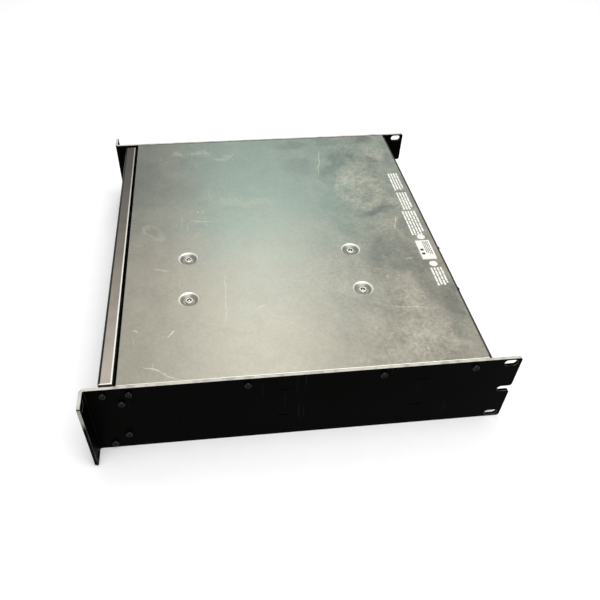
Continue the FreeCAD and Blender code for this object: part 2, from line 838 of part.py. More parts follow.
def make_front_rail():
    """The sub-panel behind the front: a flanged sheet with a window for the air."""
    body = new_body("front_rail")
    web_front = behind(d.rail_web_at)
    web_back = web_front + d.rail_sheet
    front = rail_front
    low, high = d.tray_sheet, cover_under - d.rail_top_gap
    waist_low, waist_high = d.tray_flange + 1.0, cover_under - d.cover_flange - 1.0
    narrow = rail_half
    web = [(-narrow, low), (narrow, low), (narrow, waist_low), (loose_half, waist_low),
           (loose_half, waist_high), (narrow, waist_high), (narrow, high), (-narrow, high),
           (-narrow, waist_high), (-loose_half, waist_high), (-loose_half, waist_low), (-narrow, waist_low)]
    pad(body, "y", web_front, web_back, Polygon(web))
    pad(body, "y", front, web_front,
        rectangle((-narrow, narrow), (low, low + d.rail_sheet)),
        rectangle((-narrow, narrow), (high - d.rail_sheet, high)),
        *[rectangle(mirrored(side, loose_half - d.rail_sheet, loose_half), (waist_low, waist_high))
          for side in (-1, 1)])
    pocket(body, "y", web_front, web_back,
           rectangle(around(d.tunnel_centre, d.window_width), (d.window_low, window_high)))
    pocket(body, "x", -loose_half, loose_half,
           *[Circle(behind(d.rail_screw_at), z, thread_hole) for z in rail_screw_heights])
    pocket(body, "z", low, low + d.rail_sheet,
           *[Circle(x, y, thread_hole) for x, y in rail_foot_places])


def connector_screws(x, height):
    """The two diagonal screws of a round connector's flange."""
    return [(x + side * d.connector_screw_x / 2, height + side * d.connector_screw_z / 2) for side in (-1, 1)]


fan_corner_places = [(d.tunnel_centre + x * fan_hole_pitch / 2, d.fan_height + z * fan_hole_pitch / 2)
                     for x in (-1, 1) for z in (-1, 1)]


def make_rear_panel():
    """The back sheet, with a flange under the cover and one on the tray."""
    body = new_body("rear_panel")
    high = cover_under - 0.2
    pad(body, "y", rear_inner, rear_face, rectangle((-loose_half, loose_half), (0.2, high)))
    pad(body, "y", rear_face - d.rear_flange, rear_inner,
        rectangle((-rail_half, rail_half), (high - d.rear_sheet, high)))
    holes = [Circle(d.tunnel_centre, d.fan_height, fan_bore_radius),
             Circle(breaker_x, d.breaker_height, d.breaker_bush_radius + d.hole_clearance),
             rectangle(around(inlet_x, d.inlet_body_width + d.fit_gap),
                       around(d.inlet_height, d.inlet_body_tall + d.fit_gap)),
             rectangle(around(d.mode_switch_x, d.mode_window_width),
                       around(d.mode_switch_height, d.mode_window_tall))]
    holes += [Circle(x, z, screw_hole) for x, z in fan_corner_places]
    holes += [Circle(x, d.rear_screw_height, screw_hole) for x in rear_screw_xs]
    for x in (input_1_x, input_2_x):
        holes.append(Circle(x, d.input_height, d.connector_body_radius + d.hole_clearance))
        holes += [Circle(*spot, thread_hole) for spot in connector_screws(x, d.input_height)]
        holes.append(rectangle(around(x, d.latch_width + 1.0),
                               around(d.input_height + d.latch_height, d.latch_thickness + 0.8)))
    for x in (d.speaker_1_x, d.speaker_2_x):
        holes.append(Circle(x, d.speaker_height, d.speaker_body_radius + d.hole_clearance))
        holes += [Circle(*spot, thread_hole) for spot in connector_screws(x, d.speaker_height)]
    holes += [Circle(x, d.inlet_height, thread_hole) for x in around(inlet_x, d.inlet_screw_pitch)]
    holes += [Circle(x, d.mode_switch_height, thread_hole)
              for x in around(d.mode_switch_x, d.mode_screw_pitch)]
    pocket(body, "y", rear_inner, rear_face, *holes)
    fillet(body, d.rear_bend, lambda edge: runs_along(edge, "x", [(rear_face, high)]))


def make_braces():
    """Channel braces whose end tabs sit in slots of the side panels."""
    for side, side_name in ((1, "right"), (-1, "left")):
        for y, end_name in zip(brace_places, ("front", "rear")):
            body = new_body(f"brace_{side_name}_{end_name}")
            web = side_inner - d.brace_depth
            low, high = brace_heights
            half_sheet = d.brace_sheet / 2
            reach = side_inner - 0.3
            channel = Polygon([(side * x, z) for x, z in (
                (reach, low - half_sheet), (reach, low + half_sheet),
                (web + d.brace_sheet, low + half_sheet), (web + d.brace_sheet, high - half_sheet),
                (reach, high - half_sheet), (reach, high + half_sheet),
                (web, high + half_sheet), (web, low - half_sheet))])
            pad(body, "y", y - d.brace_length / 2, y + d.brace_length / 2, channel)
            tab_low, tab_high = mirrored(side, reach, half_case - 0.3)
            pad(body, "x", tab_low, tab_high, *[
                rectangle(around(y, d.tab_length), around(z, d.brace_sheet)) for z in (low, high)])


# ---------------------------------------------------------------- fasteners of the case
def make_case_fasteners():
    """Side, dimple and tray screws, and the spacers behind the front panel's screws."""
    group("side_screws", [
        screw(f"side_screw_{name}_{i}", (side * half_case, y, z), (side, 0, 0), d.screw_length)
        for side, name in ((1, "right"), (-1, "left"))
        for i, (y, z) in enumerate(side_screw_places, 1)])
    floor = d.panel_height - d.dimple_depth
    group("cover_screws", [
        screw(f"cover_screw_{i}", (x, y, floor), (0, 0, 1), d.screw_length,
              head_radius=d.dimple_screw_radius)
        for i, (x, y) in enumerate(dimple_places, 1)])
    group("panel_spacers", [
        tube(f"panel_spacer_{side}_{i}", d.screw_shank_radius + d.spacer_wall, screw_hole, d.front_side_gap,
             (panel_half if side > 0 else -side_inner, behind(d.panel_screw_at), z), (1, 0, 0))
        for side in (-1, 1) for i, z in enumerate(panel_screw_heights, 1)])


# ---------------------------------------------------------------- front controls
def make_gain_control(number, x):
    """A knob on its shaft, and the potentiometer behind the panel."""
    z = d.knob_height
    knob_back = front_face - d.pot_nut_depth - d.knob_gap
    knob_front = front_face - d.knob_depth
    bore_end = knob_front + 2.0
    shaft_bore = d.shaft_radius + d.shaft_clearance
    knob = new_body(f"gain_knob_{number}")
    grip = d.knob_radius - 1.2
    skirt = knob_back - knob_front
    revolve(knob, "z", 0, [
        (0, 0), (grip - 1.0, 0), (grip, 1.0), (grip, skirt - 2.2), (d.knob_radius, skirt - 1.4),
        (d.knob_radius, skirt), (shaft_bore, skirt), (shaft_bore, 2.0), (0, 2.0)])
    flute = pocket(knob, "y", 0.8, skirt - 2.4, Circle(grip + 0.7, 0, 1.2))
    polar(knob, flute, 18)
    pocket(knob, "y", 0, 0.6, rectangle(around(as_size(0), 1.2), (grip * 0.3, grip - 1.2)))
    place(knob, (x, knob_front, z))
    rod(f"gain_shaft_{number}", d.shaft_radius, pot_back - 3.0 - bore_end, (x, bore_end, z), (0, 1, 0))
    bush_front = front_face - d.pot_nut_depth - 0.2
    turned(f"gain_pot_{number}", [
        (shaft_bore, 0), (bush_radius, 0), (bush_radius, front_inner - bush_front),
        (d.pot_radius, front_inner - bush_front), (d.pot_radius, pot_back - bush_front),
        (0, pot_back - bush_front), (0, pot_back - bush_front - 2.5),
        (shaft_bore, pot_back - bush_front - 2.5)], (x, bush_front, z))


def make_gain_nuts():
    """The nuts that hold the potentiometers to the panel."""
    group("gain_nuts", [
        tube(f"gain_nut_{i}", pot_nut_radius, bush_radius + d.thread_clearance, d.pot_nut_depth,
             (x, front_face - d.pot_nut_depth, d.knob_height))
        for i, x in enumerate((d.knob_1_x, d.knob_2_x), 1)])


def make_leds():
    """Round lamps that stand on the front board and show through the panel."""
    lamps = []
    for i, (x, z) in enumerate(led_places(), 1):
        stem = rod(f"led_stem_{i}", d.led_radius, pot_back - front_face, (x, front_face, z), (0, 1, 0))
        dome = doc.addObject("Part::Sphere", f"led_dome_{i}")
        bind(dome, "Radius", d.led_radius)
        place(dome, (x, front_face, z))
        lamps.append(join(f"led_{i}", [stem, dome]))
    group("channel_leds", lamps)


def make_front_board():
    """The board that carries the potentiometers and lamps; returns its pillars."""
    low_x = d.knob_1_x - d.pot_radius - 6.0
    high_x = d.knob_2_x + d.led_x_offset + 8.0
    low_z, high_z = d.knob_height - 20.0, d.knob_height + 24.0
    box("front_board", (low_x, high_x), (pot_back, board_back), (low_z, high_z))
    pillar = behind(d.rail_web_at) - board_back
    return [rod(f"front_board_pillar_{i}", d.standoff_radius, pillar, (x, board_back, z), (0, 1, 0))
            for i, (x, z) in enumerate([(x, z) for x in (low_x + d.pillar_inset, high_x - d.pillar_inset)
                                        for z in (low_z + d.pillar_inset, high_z - d.pillar_inset)], 1)]


def make_power_switch():
    """A snap-in rocker switch: the housing with its bezel, and the rocker on two pins."""
    housing = new_body("power_switch_housing")
    width, tall = around(switch_x, d.switch_width), around(d.switch_height, d.switch_tall)
    bezel = (around(switch_x, d.switch_width + d.bezel_lip * 2),
             around(d.switch_height, d.switch_tall + d.bezel_lip * 2))
    back = front_face + d.switch_depth
    pad(housing, "y", front_face - d.bezel_proud, front_face, rectangle(*bezel))
    pad(housing, "y", front_face, back, rectangle(width, tall))
    cavity = (around(switch_x, d.rocker_width + d.rocker_gap * 2),
              around(d.switch_height, (d.rocker_radius + d.rocker_gap) * 2))
    pocket(housing, "y", front_face - d.bezel_proud, back - d.switch_back_wall, rectangle(*cavity))
    pin_end = d.rocker_width / 2 + d.rocker_pin_length
    pocket(housing, "x", switch_x - pin_end - 0.2, switch_x + pin_end + 0.2,
           Circle(switch_pivot, d.switch_height, d.rocker_pin_radius + d.shaft_clearance))
    rocker = new_body("power_rocker")
    reach = d.rocker_radius
    half = d.rocker_width / 2
    steps = 6
    start = math.radians(145)
    arc = [(reach * math.cos(start - i * math.radians(95) / steps),
            reach * math.sin(start - i * math.radians(95) / steps)) for i in range(steps + 1)]
    profile = [(reach * -0.6, 0)] + arc + [(y, -z) for y, z in reversed(arc)]
    pad(rocker, "x", -half, half, Polygon(profile))
    pad(rocker, "x", -pin_end, pin_end, Circle(0, 0, d.rocker_pin_radius))
    place(rocker, (switch_x, switch_pivot, d.switch_height),
          FreeCAD.Rotation(Vector(1, 0, 0), DIMENSIONS["rocker_tilt"]))
    bind(rocker, "Placement.Rotation.Angle", d.rocker_tilt)


# ---------------------------------------------------------------- fan
def make_fan():
    """The square fan frame, its rotor, the wire guard and the long screws."""
    front = rear_inner - d.fan_depth
    x, z = d.tunnel_centre, d.fan_height
    frame = new_body("fan_frame")
    pad(frame, "y", front, rear_inner, rectangle(around(x, d.fan_size), around(z, d.fan_size)))
    corner_holes = [Circle(*spot, screw_hole) for spot in fan_corner_places]
    pocket(frame, "y", front, rear_inner, Circle(x, z, fan_bore_radius), *corner_holes)
    strut = d.fan_strut
    pad(frame, "y", front, front + strut, Circle(x, z, d.fan_hub_radius))
    pad(frame, "y", front, front + strut, rectangle(around(x, fan_bore_radius * 2 + 1.0), around(z, strut)))
    pad(frame, "y", front, front + strut, rectangle(around(x, strut), around(z, fan_bore_radius * 2 + 1.0)))
    pad(frame, "y", front + strut, front + strut + d.fan_axle_length, Circle(x, z, d.fan_axle_radius))
    rotor = new_body("fan_rotor")
    hub_depth = d.fan_depth - strut - d.fan_hub_gap
    axle_bore = d.fan_axle_radius + d.shaft_clearance
    revolve(rotor, "z", 0, [(axle_bore, 0), (d.fan_hub_radius, 0), (d.fan_hub_radius, hub_depth - 1.5),
                            (d.fan_hub_radius - 1.5, hub_depth), (0, hub_depth), (0, d.fan_axle_length),
                            (axle_bore, d.fan_axle_length)])
    blade_reach = fan_bore_radius - d.blade_gap
    lean = d.blade_lean
    blade = pad(rotor, "x", d.fan_hub_radius - 1.0, blade_reach, Polygon([
        (1.0, -lean), (1.0 + d.blade_sheet, -lean), (hub_depth - 2.0 + d.blade_sheet, lean),
        (hub_depth - 2.0, lean)]))
    polar(rotor, blade, d.blade_count)
    place(rotor, (x, front + strut + 0.5, z))
    wire = d.guard_wire
    centre = rear_face + wire * 1.2
    hoops = []
    for i, share in enumerate((0.28, 0.5, 0.72, 0.94), 1):
        hoop = doc.addObject("Part::Torus", f"guard_hoop_{i}")
        bind(hoop, "Radius1", fan_bore_radius * share)
        bind(hoop, "Radius2", wire)
        place(hoop, (x, centre + wire * 1.4, z), FreeCAD.Rotation(Vector(1, 0, 0), 90))
        hoops.append(hoop)
    eye_sheet = wire * 1.8
    arm_reach = fan_hole_pitch * math.sqrt(0.5) - d.screw_head_radius - d.guard_screw_gap
    arm_step = arm_reach * math.sqrt(0.5)
    arms = [rod(f"guard_arm_{i}", wire, arm_reach * 2,
                (x - arm_step, centre, z - rise * arm_step), (1, 0, rise))
            for i, rise in enumerate((1, -1), 1)]
    eye_radius = d.screw_head_radius + d.guard_eye_wall
    eyes = [tube(f"guard_eye_{i}", eye_radius, screw_hole, eye_sheet, (ex, rear_face, ez))
            for i, (ex, ez) in enumerate(fan_corner_places, 1)]
    join("fan_guard", hoops + arms + eyes)
    group("fan_screws", [
        screw(f"fan_screw_{i}", (ex, rear_face + eye_sheet, ez), (0, 1, 0), d.fan_depth)
        for i, (ex, ez) in enumerate(fan_corner_places, 1)])
    duct = new_body("air_duct")
    duct_low, duct_high = around(z, d.fan_size)
    pad(duct, "y", sink_back + d.duct_gap, front - d.duct_gap,
        rectangle(around(x, d.fan_size), (duct_low, duct_high)),
        rectangle(around(x, d.fan_size - d.duct_wall * 2), (duct_low + d.duct_wall, duct_high - d.duct_wall)))


# ---------------------------------------------------------------- rear connectors
def make_input_socket(number, x):
    """A three-pole round input socket and its release latch."""
    z = d.input_height
    body = new_body(f"input_socket_{number}")
    front = rear_face - d.connector_body_depth
    face = rear_face + d.connector_sheet
    pad(body, "y", rear_face, face, rectangle(around(x, d.connector_width), around(z, d.connector_tall)))
    pad(body, "y", front, rear_face, Circle(x, z, d.connector_body_radius))
    pad(body, "y", face, face + d.connector_rim, Circle(x, z, d.connector_body_radius))
    pocket(body, "y", face - d.plug_depth, face + d.connector_rim,
           Circle(x, z, d.plug_ring_radius), Circle(x, z, d.plug_core_radius))
    contacts = [(x + d.contact_circle * math.cos(angle), z + d.contact_circle * math.sin(angle))
                for angle in (math.radians(200), math.radians(340), math.radians(270))]
    pocket(body, "y", face - d.contact_depth, face + d.connector_rim,
           *[Circle(*spot, d.contact_radius) for spot in contacts])
    latch_z = z + d.latch_height
    pocket(body, "y", front, face + d.connector_rim,
           rectangle(around(x, d.latch_width + d.latch_side_gap),
                     around(latch_z, d.latch_thickness + d.latch_face_gap)))
    pocket(body, "y", rear_face, face, *[Circle(*spot, screw_hole) for spot in connector_screws(x, z)])
    box(f"input_latch_{number}", around(x, d.latch_width), (rear_face - d.latch_tail, face + d.latch_proud),
        around(latch_z, d.latch_thickness))


def make_speaker_socket(number, x):
    """A twist-lock loudspeaker socket: a wide mouth around a keyed core."""
    z = d.speaker_height
    body = new_body(f"speaker_socket_{number}")
    back = rear_face - d.speaker_mouth_depth - d.speaker_back_wall
    face = rear_face + d.connector_sheet
    pad(body, "y", rear_face, face, rectangle(around(x, d.connector_width), around(z, d.connector_tall)))
    pad(body, "y", back, rear_face, Circle(x, z, d.speaker_body_radius))
    pocket(body, "y", face - d.speaker_mouth_depth, face,
           Circle(x, z, d.speaker_mouth_radius), Circle(x, z, d.speaker_core_radius))
    pocket(body, "y", face - d.plug_depth, face, Circle(x, z, d.speaker_core_bore))
    pocket(body, "y", rear_face, face, *[Circle(*spot, screw_hole) for spot in connector_screws(x, z)])


def make_connector_screws():
    """The small screws of the four round connectors, the mains inlet and the mode switch."""
    places = []
    for x in (input_1_x, input_2_x):
        places += connector_screws(x, d.input_height)
    for x in (d.speaker_1_x, d.speaker_2_x):
        places += connector_screws(x, d.speaker_height)
    places += [(x, d.inlet_height) for x in around(inlet_x, d.inlet_screw_pitch)]
    small = {"head_radius": d.screw_head_radius * 0.8, "head_height": d.screw_head_height * 0.7}
    screws = [screw(f"connector_screw_{i}", (x, rear_face + d.connector_sheet, z), (0, 1, 0),
                    d.screw_length - 2.0, **small)
              for i, (x, z) in enumerate(places, 1)]
    screws += [screw(f"mode_switch_screw_{i}", (x, rear_face, d.mode_switch_height), (0, 1, 0), 4.0, **small)
               for i, x in enumerate(around(d.mode_switch_x, d.mode_screw_pitch), 1)]
    group("connector_screws", screws)


def make_mode_switch():
    """A three-position slide switch behind a window of the rear panel."""
    x, z = d.mode_switch_x, d.mode_switch_height
    body = new_body("mode_switch_housing")
    plate_back = rear_inner - d.mode_plate
    pad(body, "y", plate_back, rear_inner,
        rectangle(around(x, d.mode_screw_pitch + 7.0), around(z, d.mode_window_tall + 4.0)))
    pad(body, "y", plate_back - d.mode_can_depth, plate_back,
        rectangle(around(x, d.mode_window_width + 2.0), around(z, d.mode_window_tall + 3.0)))
    slot_width = d.slider_width + (d.slider_travel + d.slider_side_gap) * 2
    slot_tall = d.slider_tall + d.slider_face_gap * 2
    pocket(body, "y", plate_back - 6.0, rear_inner, rectangle(around(x, slot_width), around(z, slot_tall)))
    pocket(body, "y", plate_back, rear_inner,
           *[Circle(hole_x, z, thread_hole) for hole_x in around(x, d.mode_screw_pitch)])
    box("mode_slider", around(x, d.slider_width), (plate_back - 5.6, rear_face + d.slider_proud),
        around(z, d.slider_tall))


def make_mains_inlet():
    """The three-pin mains inlet with its flange and screws."""
    x, z = inlet_x, d.inlet_height
    body = new_body("mains_inlet")
    face = rear_face + d.connector_sheet
    floor = face - d.inlet_mouth_depth
    pad(body, "y", rear_face, face,
        rectangle(around(x, d.inlet_screw_pitch + d.inlet_flange_past), around(z, d.inlet_flange_tall)))
    pad(body, "y", floor - d.inlet_wall, rear_face,
        rectangle(around(x, d.inlet_body_width), around(z, d.inlet_body_tall)))
    left, right = around(x, d.inlet_mouth_width)
    low, high = around(z, d.inlet_mouth_tall)
    corner = d.inlet_mouth_corner
    pocket(body, "y", floor, face, Polygon([
        (left, low), (right, low), (right, high - corner), (right - corner, high),
        (left + corner, high), (left, high - corner)]))
    earth_low = z + d.inlet_earth_rise
    pad(body, "y", floor - d.inlet_tag_length, face - d.inlet_pin_recess,
        *[rectangle(around(pin, d.inlet_pin_width), (z - d.inlet_pin_tall, z))
          for pin in around(x, d.inlet_pin_pitch)],
        rectangle(around(x, d.inlet_pin_width), (earth_low, earth_low + d.inlet_pin_tall)))
    pocket(body, "y", rear_face, face,
           *[Circle(hole_x, z, screw_hole) for hole_x in around(x, d.inlet_screw_pitch)])


def make_breaker():
    """The push-to-reset circuit breaker, its button and its ring nut."""
    x, z = breaker_x, d.breaker_height
    body = new_body("breaker_body")
    collar = rear_face + d.breaker_collar
    pad(body, "y", rear_inner - d.breaker_depth, rear_inner,
        rectangle(around(x, d.breaker_width), around(z, d.breaker_tall)))
    pad(body, "y", rear_inner, collar, Circle(x, z, d.breaker_bush_radius))
    pocket(body, "y", rear_face - 8.0, collar, Circle(x, z, d.breaker_button_radius + 0.1))
    rod("breaker_button", d.breaker_button_radius, d.breaker_button_length,
        (x, rear_face - 7.5, z), (0, 1, 0))
    hex_nut("breaker_nut", d.breaker_bush_radius + d.breaker_nut_wall, d.breaker_bush_radius,
            d.breaker_nut_depth, (x, rear_face, z), (0, 1, 0))


# ---------------------------------------------------------------- power stage
def make_heatsinks():
    """Two finned halves that face each other and form the air tunnel."""
    low, high = d.tray_sheet, sink_top
    devices = []
    for side, name in ((1, "outer"), (-1, "inner")):
        base = d.tunnel_centre + side * d.sink_half_width

        def inward(distance):
            return base - side * distance

        tip = d.sink_half_width - d.fin_tip_gap / 2
        pitch = (high - low - d.sink_rail * 2) / (d.fin_count + 1)
        outline = [(base, low), (inward(d.sink_rail_width), low),
                   (inward(d.sink_rail_width), low + d.sink_rail), (inward(d.sink_base), low + d.sink_rail)]
        for i in range(int(DIMENSIONS["fin_count"])):
            fin = low + d.sink_rail + pitch * (i + 1)
            for z, ends in ((fin - d.fin_thickness / 2, (d.sink_base, tip)),
                            (fin + d.fin_thickness / 2, (tip, d.sink_base))):
                outline += [(inward(end), z) for end in ends]
        outline += [(inward(d.sink_base), high - d.sink_rail),
                    (inward(d.sink_rail_width), high - d.sink_rail),
                    (inward(d.sink_rail_width), high), (base, high)]
        body = new_body(f"heatsink_{name}")
        pad(body, "y", sink_front, sink_back, Polygon(outline))
        screws = [(x, y) for x, y in dimple_places if (x.number > DIMENSIONS["tunnel_centre"]) == (side > 0)]
        pocket(body, "z", high - d.sink_rail, high, *[Circle(x, y, thread_hole) for x, y in screws])
        pocket(body, "z", low, low + d.sink_rail, *[Circle(x, y, thread_hole) for x, y in screws])
        face = mirrored(side, 0, d.device_depth)
        devices += [box(f"output_device_{name}_{i}", (base + face[0], base + face[1]),
                        around(sink_front + d.device_first + d.device_pitch * i, d.device_width),
                        around(mid_height, d.device_tall)) for i in range(5)]
    group("output_devices", devices)


def make_hidden_screws():
    """Countersunk screws up through the tray, and the row along the foot of the rear panel."""
    flats = []
    cone_tall = d.flat_head_radius - d.screw_shank_radius
    for i, (x, y) in enumerate(tray_screw_places, 1):
        head = doc.addObject("Part::Cone", f"tray_screw_{i}_head")
        bind(head, "Radius1", d.flat_head_radius)
        bind(head, "Radius2", d.screw_shank_radius)
        bind(head, "Height", cone_tall)
        shank = rod(f"tray_screw_{i}_shank", d.screw_shank_radius, d.screw_length, (0, 0, cone_tall))
        flat = join(f"tray_screw_{i}", [head, shank])
        place(flat, (x, y, 0))
        flats.append(flat)
    group("tray_screws", flats)
    group("rear_panel_screws", [
        screw(f"rear_panel_screw_{i}", (x, rear_face, d.rear_screw_height), (0, 1, 0), d.screw_length)
        for i, x in enumerate(rear_screw_xs, 1)])


def make_transformer():
    """The ring-core mains transformer on its rubber pad, under a clamp plate and bolt."""
    x, y = d.core_x, behind(d.core_at)
    pad_low = d.tray_sheet
    low = pad_low + d.pad_sheet
    high = low + d.core_tall
    tube("transformer_pad", d.core_radius - 4.0, d.core_hole_radius, d.pad_sheet, (x, y, pad_low), (0, 0, 1))
    core = new_body("transformer")
    revolve(core, "y", 0, [(d.core_hole_radius, 0), (d.core_radius, 0), (d.core_radius, d.core_tall),
                           (d.core_hole_radius, d.core_tall)])
    fillet(core, d.core_round, lambda edge: isinstance(edge.Curve, Part.Circle)
           and len(edge.Vertexes) == 1 and near(edge.Curve.Radius, d.core_radius))
    place(core, (x, y, low))
    tube("transformer_clamp", d.clamp_radius, d.bolt_radius + d.hole_clearance, d.clamp_sheet,
         (x, y, high), (0, 0, 1))
    clamp_top = high + d.clamp_sheet
    nut_tall = d.bolt_radius * 1.6
    rod("transformer_stud", d.bolt_radius, clamp_top + nut_tall + 2.0 - pad_low, (x, y, pad_low))
    hex_nut("transformer_nut", d.bolt_radius * 1.9, d.bolt_radius, nut_tall, (x, y, clamp_top), (0, 0, 1))


# ---------------------------------------------------------------- boards
BOARDS = {
    "amp_board_outer": ((d.tunnel_centre + d.sink_half_width + d.device_depth + d.device_board_gap,
                         side_inner - 6.0),
                        (sink_front, sink_back)),
    "amp_board_inner": ((d.core_x + d.core_radius + 6.0,
                         d.tunnel_centre - d.sink_half_width - d.device_depth - d.device_board_gap),
                        (sink_front, sink_back)),
    "supply_board": ((-side_inner + 8.0, d.core_x + d.core_radius - 2.0),
                     (behind(d.core_at) + d.core_radius + 8.0, behind(d.core_at) + d.core_radius + 98.0)),
    "input_board": ((input_1_x - 18.0, input_2_x + 18.0),
                    (behind(d.core_at) + d.core_radius + 102.0, rear_face - d.rear_flange)),
}


def make_boards():
    """The circuit boards on pillars, and the large parts that stand on the supply board."""
    pillars = make_front_board()
    for label, (x, y) in BOARDS.items():
        box(label, x, y, (board_low, board_low + d.board_sheet))
        for px in (x[0] + d.pillar_inset, x[1] - d.pillar_inset):
            for py in (y[0] + d.pillar_inset, y[1] - d.pillar_inset):
                pillars.append(rod(f"{label}_pillar_{len(pillars)}", d.standoff_radius, d.standoff_tall,
                                   (px, py, d.tray_sheet)))
    group("board_pillars", pillars)
    (low_x, high_x), (low_y, high_y) = BOARDS["supply_board"]
    top = board_low + d.board_sheet
    pitch = d.capacitor_radius * 2 + 6.0
    group("supply_capacitors", [
        rod(f"supply_capacitor_{i + 1}", d.capacitor_radius, d.capacitor_tall,
            (low_x + 22.0 + pitch * i, low_y + 26.0, top)) for i in range(4)])
    rectifier_x, rectifier_y = low_x + 10.0, high_y - 4.0
    box("rectifier", (rectifier_x, rectifier_x + d.rectifier_side),
        (rectifier_y - d.rectifier_side, rectifier_y), (top, top + d.rectifier_tall))


def check_and_export():
    """Stop on any failed object, then write one file for each piece."""
    doc.recompute()
    failed = [o.Label for o in doc.Objects if "Invalid" in o.State or "Error" in o.State]
    if failed:
        raise RuntimeError(f"failed objects: {failed}")
    for feature in doc.Objects:
        if feature.TypeId == "PartDesign::Pocket":
            if feature.BaseFeature.Shape.Volume - feature.Shape.Volume < 0.01:
                raise RuntimeError(f"{feature.Name} cuts nothing")
    used = {child.Name for o in doc.Objects if o.TypeId in ("Part::Cut", "Part::MultiFuse", "Part::Compound")
            for child in o.OutList}
    kinds = ("PartDesign::Body", "Part::Box", "Part::Cylinder",
             "Part::Cut", "Part::MultiFuse", "Part::Compound")
    pieces = [o for o in doc.Objects if o.TypeId in kinds and o.Name not in used]
    os.makedirs("parts", exist_ok=True)
    for piece in pieces:
        if piece.Shape.isNull() or not piece.Shape.isValid() or not piece.Shape.Solids:
            raise RuntimeError(f"{piece.Label} has no valid shape")
        if piece.TypeId != "Part::Compound" and len(piece.Shape.Solids) != 1:
            raise RuntimeError(f"{piece.Label} is {len(piece.Shape.Solids)} solids")
    for piece in pieces:
        piece.Shape.exportStep(f"parts/{piece.Label}.step")
    print(len(pieces), "pieces")


make_side_panel("side_panel_right", 1)
make_side_panel("side_panel_left", -1)
make_top_cover()
make_bottom_tray()
make_front_panel()
make_front_rail()
make_rear_panel()
make_braces()
make_case_fasteners()
for number, x in ((1, d.knob_1_x), (2, d.knob_2_x)):
    make_gain_control(number, x)
make_gain_nuts()
make_leds()
make_power_switch()
make_fan()
for number, x in ((1, input_1_x), (2, input_2_x)):
    make_input_socket(number, x)
for number, x in ((1, d.speaker_1_x), (2, d.speaker_2_x)):
    make_speaker_socket(number, x)
make_connector_screws()
make_mode_switch()
make_mains_inlet()
make_breaker()
make_heatsinks()
make_hidden_screws()
make_transformer()
make_boards()
check_and_export()
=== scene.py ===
"""Looks for a two-unit rack power amplifier, laid out as an add-on and run as a script.

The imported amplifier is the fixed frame: its front faces -Y, +Z is up, and all lengths are in metres.
"""

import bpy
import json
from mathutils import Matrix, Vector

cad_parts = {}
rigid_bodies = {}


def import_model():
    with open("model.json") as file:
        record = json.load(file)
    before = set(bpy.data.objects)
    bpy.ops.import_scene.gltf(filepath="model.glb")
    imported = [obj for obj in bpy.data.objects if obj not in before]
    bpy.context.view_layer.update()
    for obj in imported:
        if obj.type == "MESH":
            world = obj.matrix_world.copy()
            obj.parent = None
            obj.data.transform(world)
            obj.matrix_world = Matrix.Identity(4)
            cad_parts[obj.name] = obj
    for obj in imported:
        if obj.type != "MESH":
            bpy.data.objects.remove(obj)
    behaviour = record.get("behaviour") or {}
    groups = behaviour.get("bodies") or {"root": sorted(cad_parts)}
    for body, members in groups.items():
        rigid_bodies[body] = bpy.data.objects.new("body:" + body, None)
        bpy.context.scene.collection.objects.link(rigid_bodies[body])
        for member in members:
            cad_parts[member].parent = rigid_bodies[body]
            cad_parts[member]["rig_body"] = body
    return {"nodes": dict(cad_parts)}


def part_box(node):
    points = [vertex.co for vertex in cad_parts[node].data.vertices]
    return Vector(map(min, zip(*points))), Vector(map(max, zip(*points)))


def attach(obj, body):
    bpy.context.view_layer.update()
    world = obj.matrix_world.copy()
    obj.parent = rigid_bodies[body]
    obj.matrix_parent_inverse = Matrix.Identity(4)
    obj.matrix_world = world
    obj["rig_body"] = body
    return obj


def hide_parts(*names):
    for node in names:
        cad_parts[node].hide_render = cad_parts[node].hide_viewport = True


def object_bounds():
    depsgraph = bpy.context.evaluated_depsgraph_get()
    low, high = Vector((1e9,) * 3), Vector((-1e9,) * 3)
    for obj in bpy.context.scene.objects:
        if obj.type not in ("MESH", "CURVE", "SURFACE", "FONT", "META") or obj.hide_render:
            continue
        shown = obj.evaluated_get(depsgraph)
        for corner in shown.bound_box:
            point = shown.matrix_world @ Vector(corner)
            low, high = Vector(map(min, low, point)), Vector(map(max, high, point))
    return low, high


bl_info = {
    "name": "Rack Power Amplifier",
    "version": (1, 0, 0),
    "blender": (4, 5, 0),
    "location": "3D View > Sidebar > Amplifier",
    "description": "Finishes, printing, screws and stage of a two-unit rack power amplifier",
    "category": "Object",
}

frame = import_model()
CAD_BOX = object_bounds()

import json
import math
import random

import bmesh
import bpy
from mathutils import Matrix, Vector

MM = 0.001
PRINT_THICKNESS = 0.06 * MM


# ---- what a user can change
def colour_setting(name, description, default):
    """A colour that a user can change."""
    return bpy.props.FloatVectorProperty(name=name, description=description, default=default, subtype="COLOR",
                                         size=3, min=0, max=1)


def length_setting(name, description, default, low, high):
    """A length that a user can change, given in millimetres."""
    return bpy.props.FloatProperty(name=name, description=description, default=default * MM, min=low * MM,
                                   max=high * MM, subtype="DISTANCE", unit="LENGTH")


def power_setting(name, description, default):
    """A light's power that a user can change."""
    return bpy.props.FloatProperty(name=name, description=description, default=default, min=0, max=1000,
                                   subtype="POWER", unit="POWER")


class LidSettings(bpy.types.PropertyGroup):
    """Paint and wear of the lid and of the front flange."""
    # the cool middle and the warmer right side also carry a painted reflection tint
    cool_paint: colour_setting("Cool paint", "Greenish grey of the clean lid", (0.205, 0.262, 0.222))
    warm_paint: colour_setting("Warm paint", "Beige grey where the lid is dusty", (0.315, 0.300, 0.245))
    smudge: colour_setting("Smudge", "Darker grey where the dust was wiped off", (0.120, 0.148, 0.132))
    dust: colour_setting("Dust", "Pale dust and specks", (0.56, 0.52, 0.41))
    flange: colour_setting("Front flange", "Browner grey of the front panel", (0.185, 0.165, 0.138))


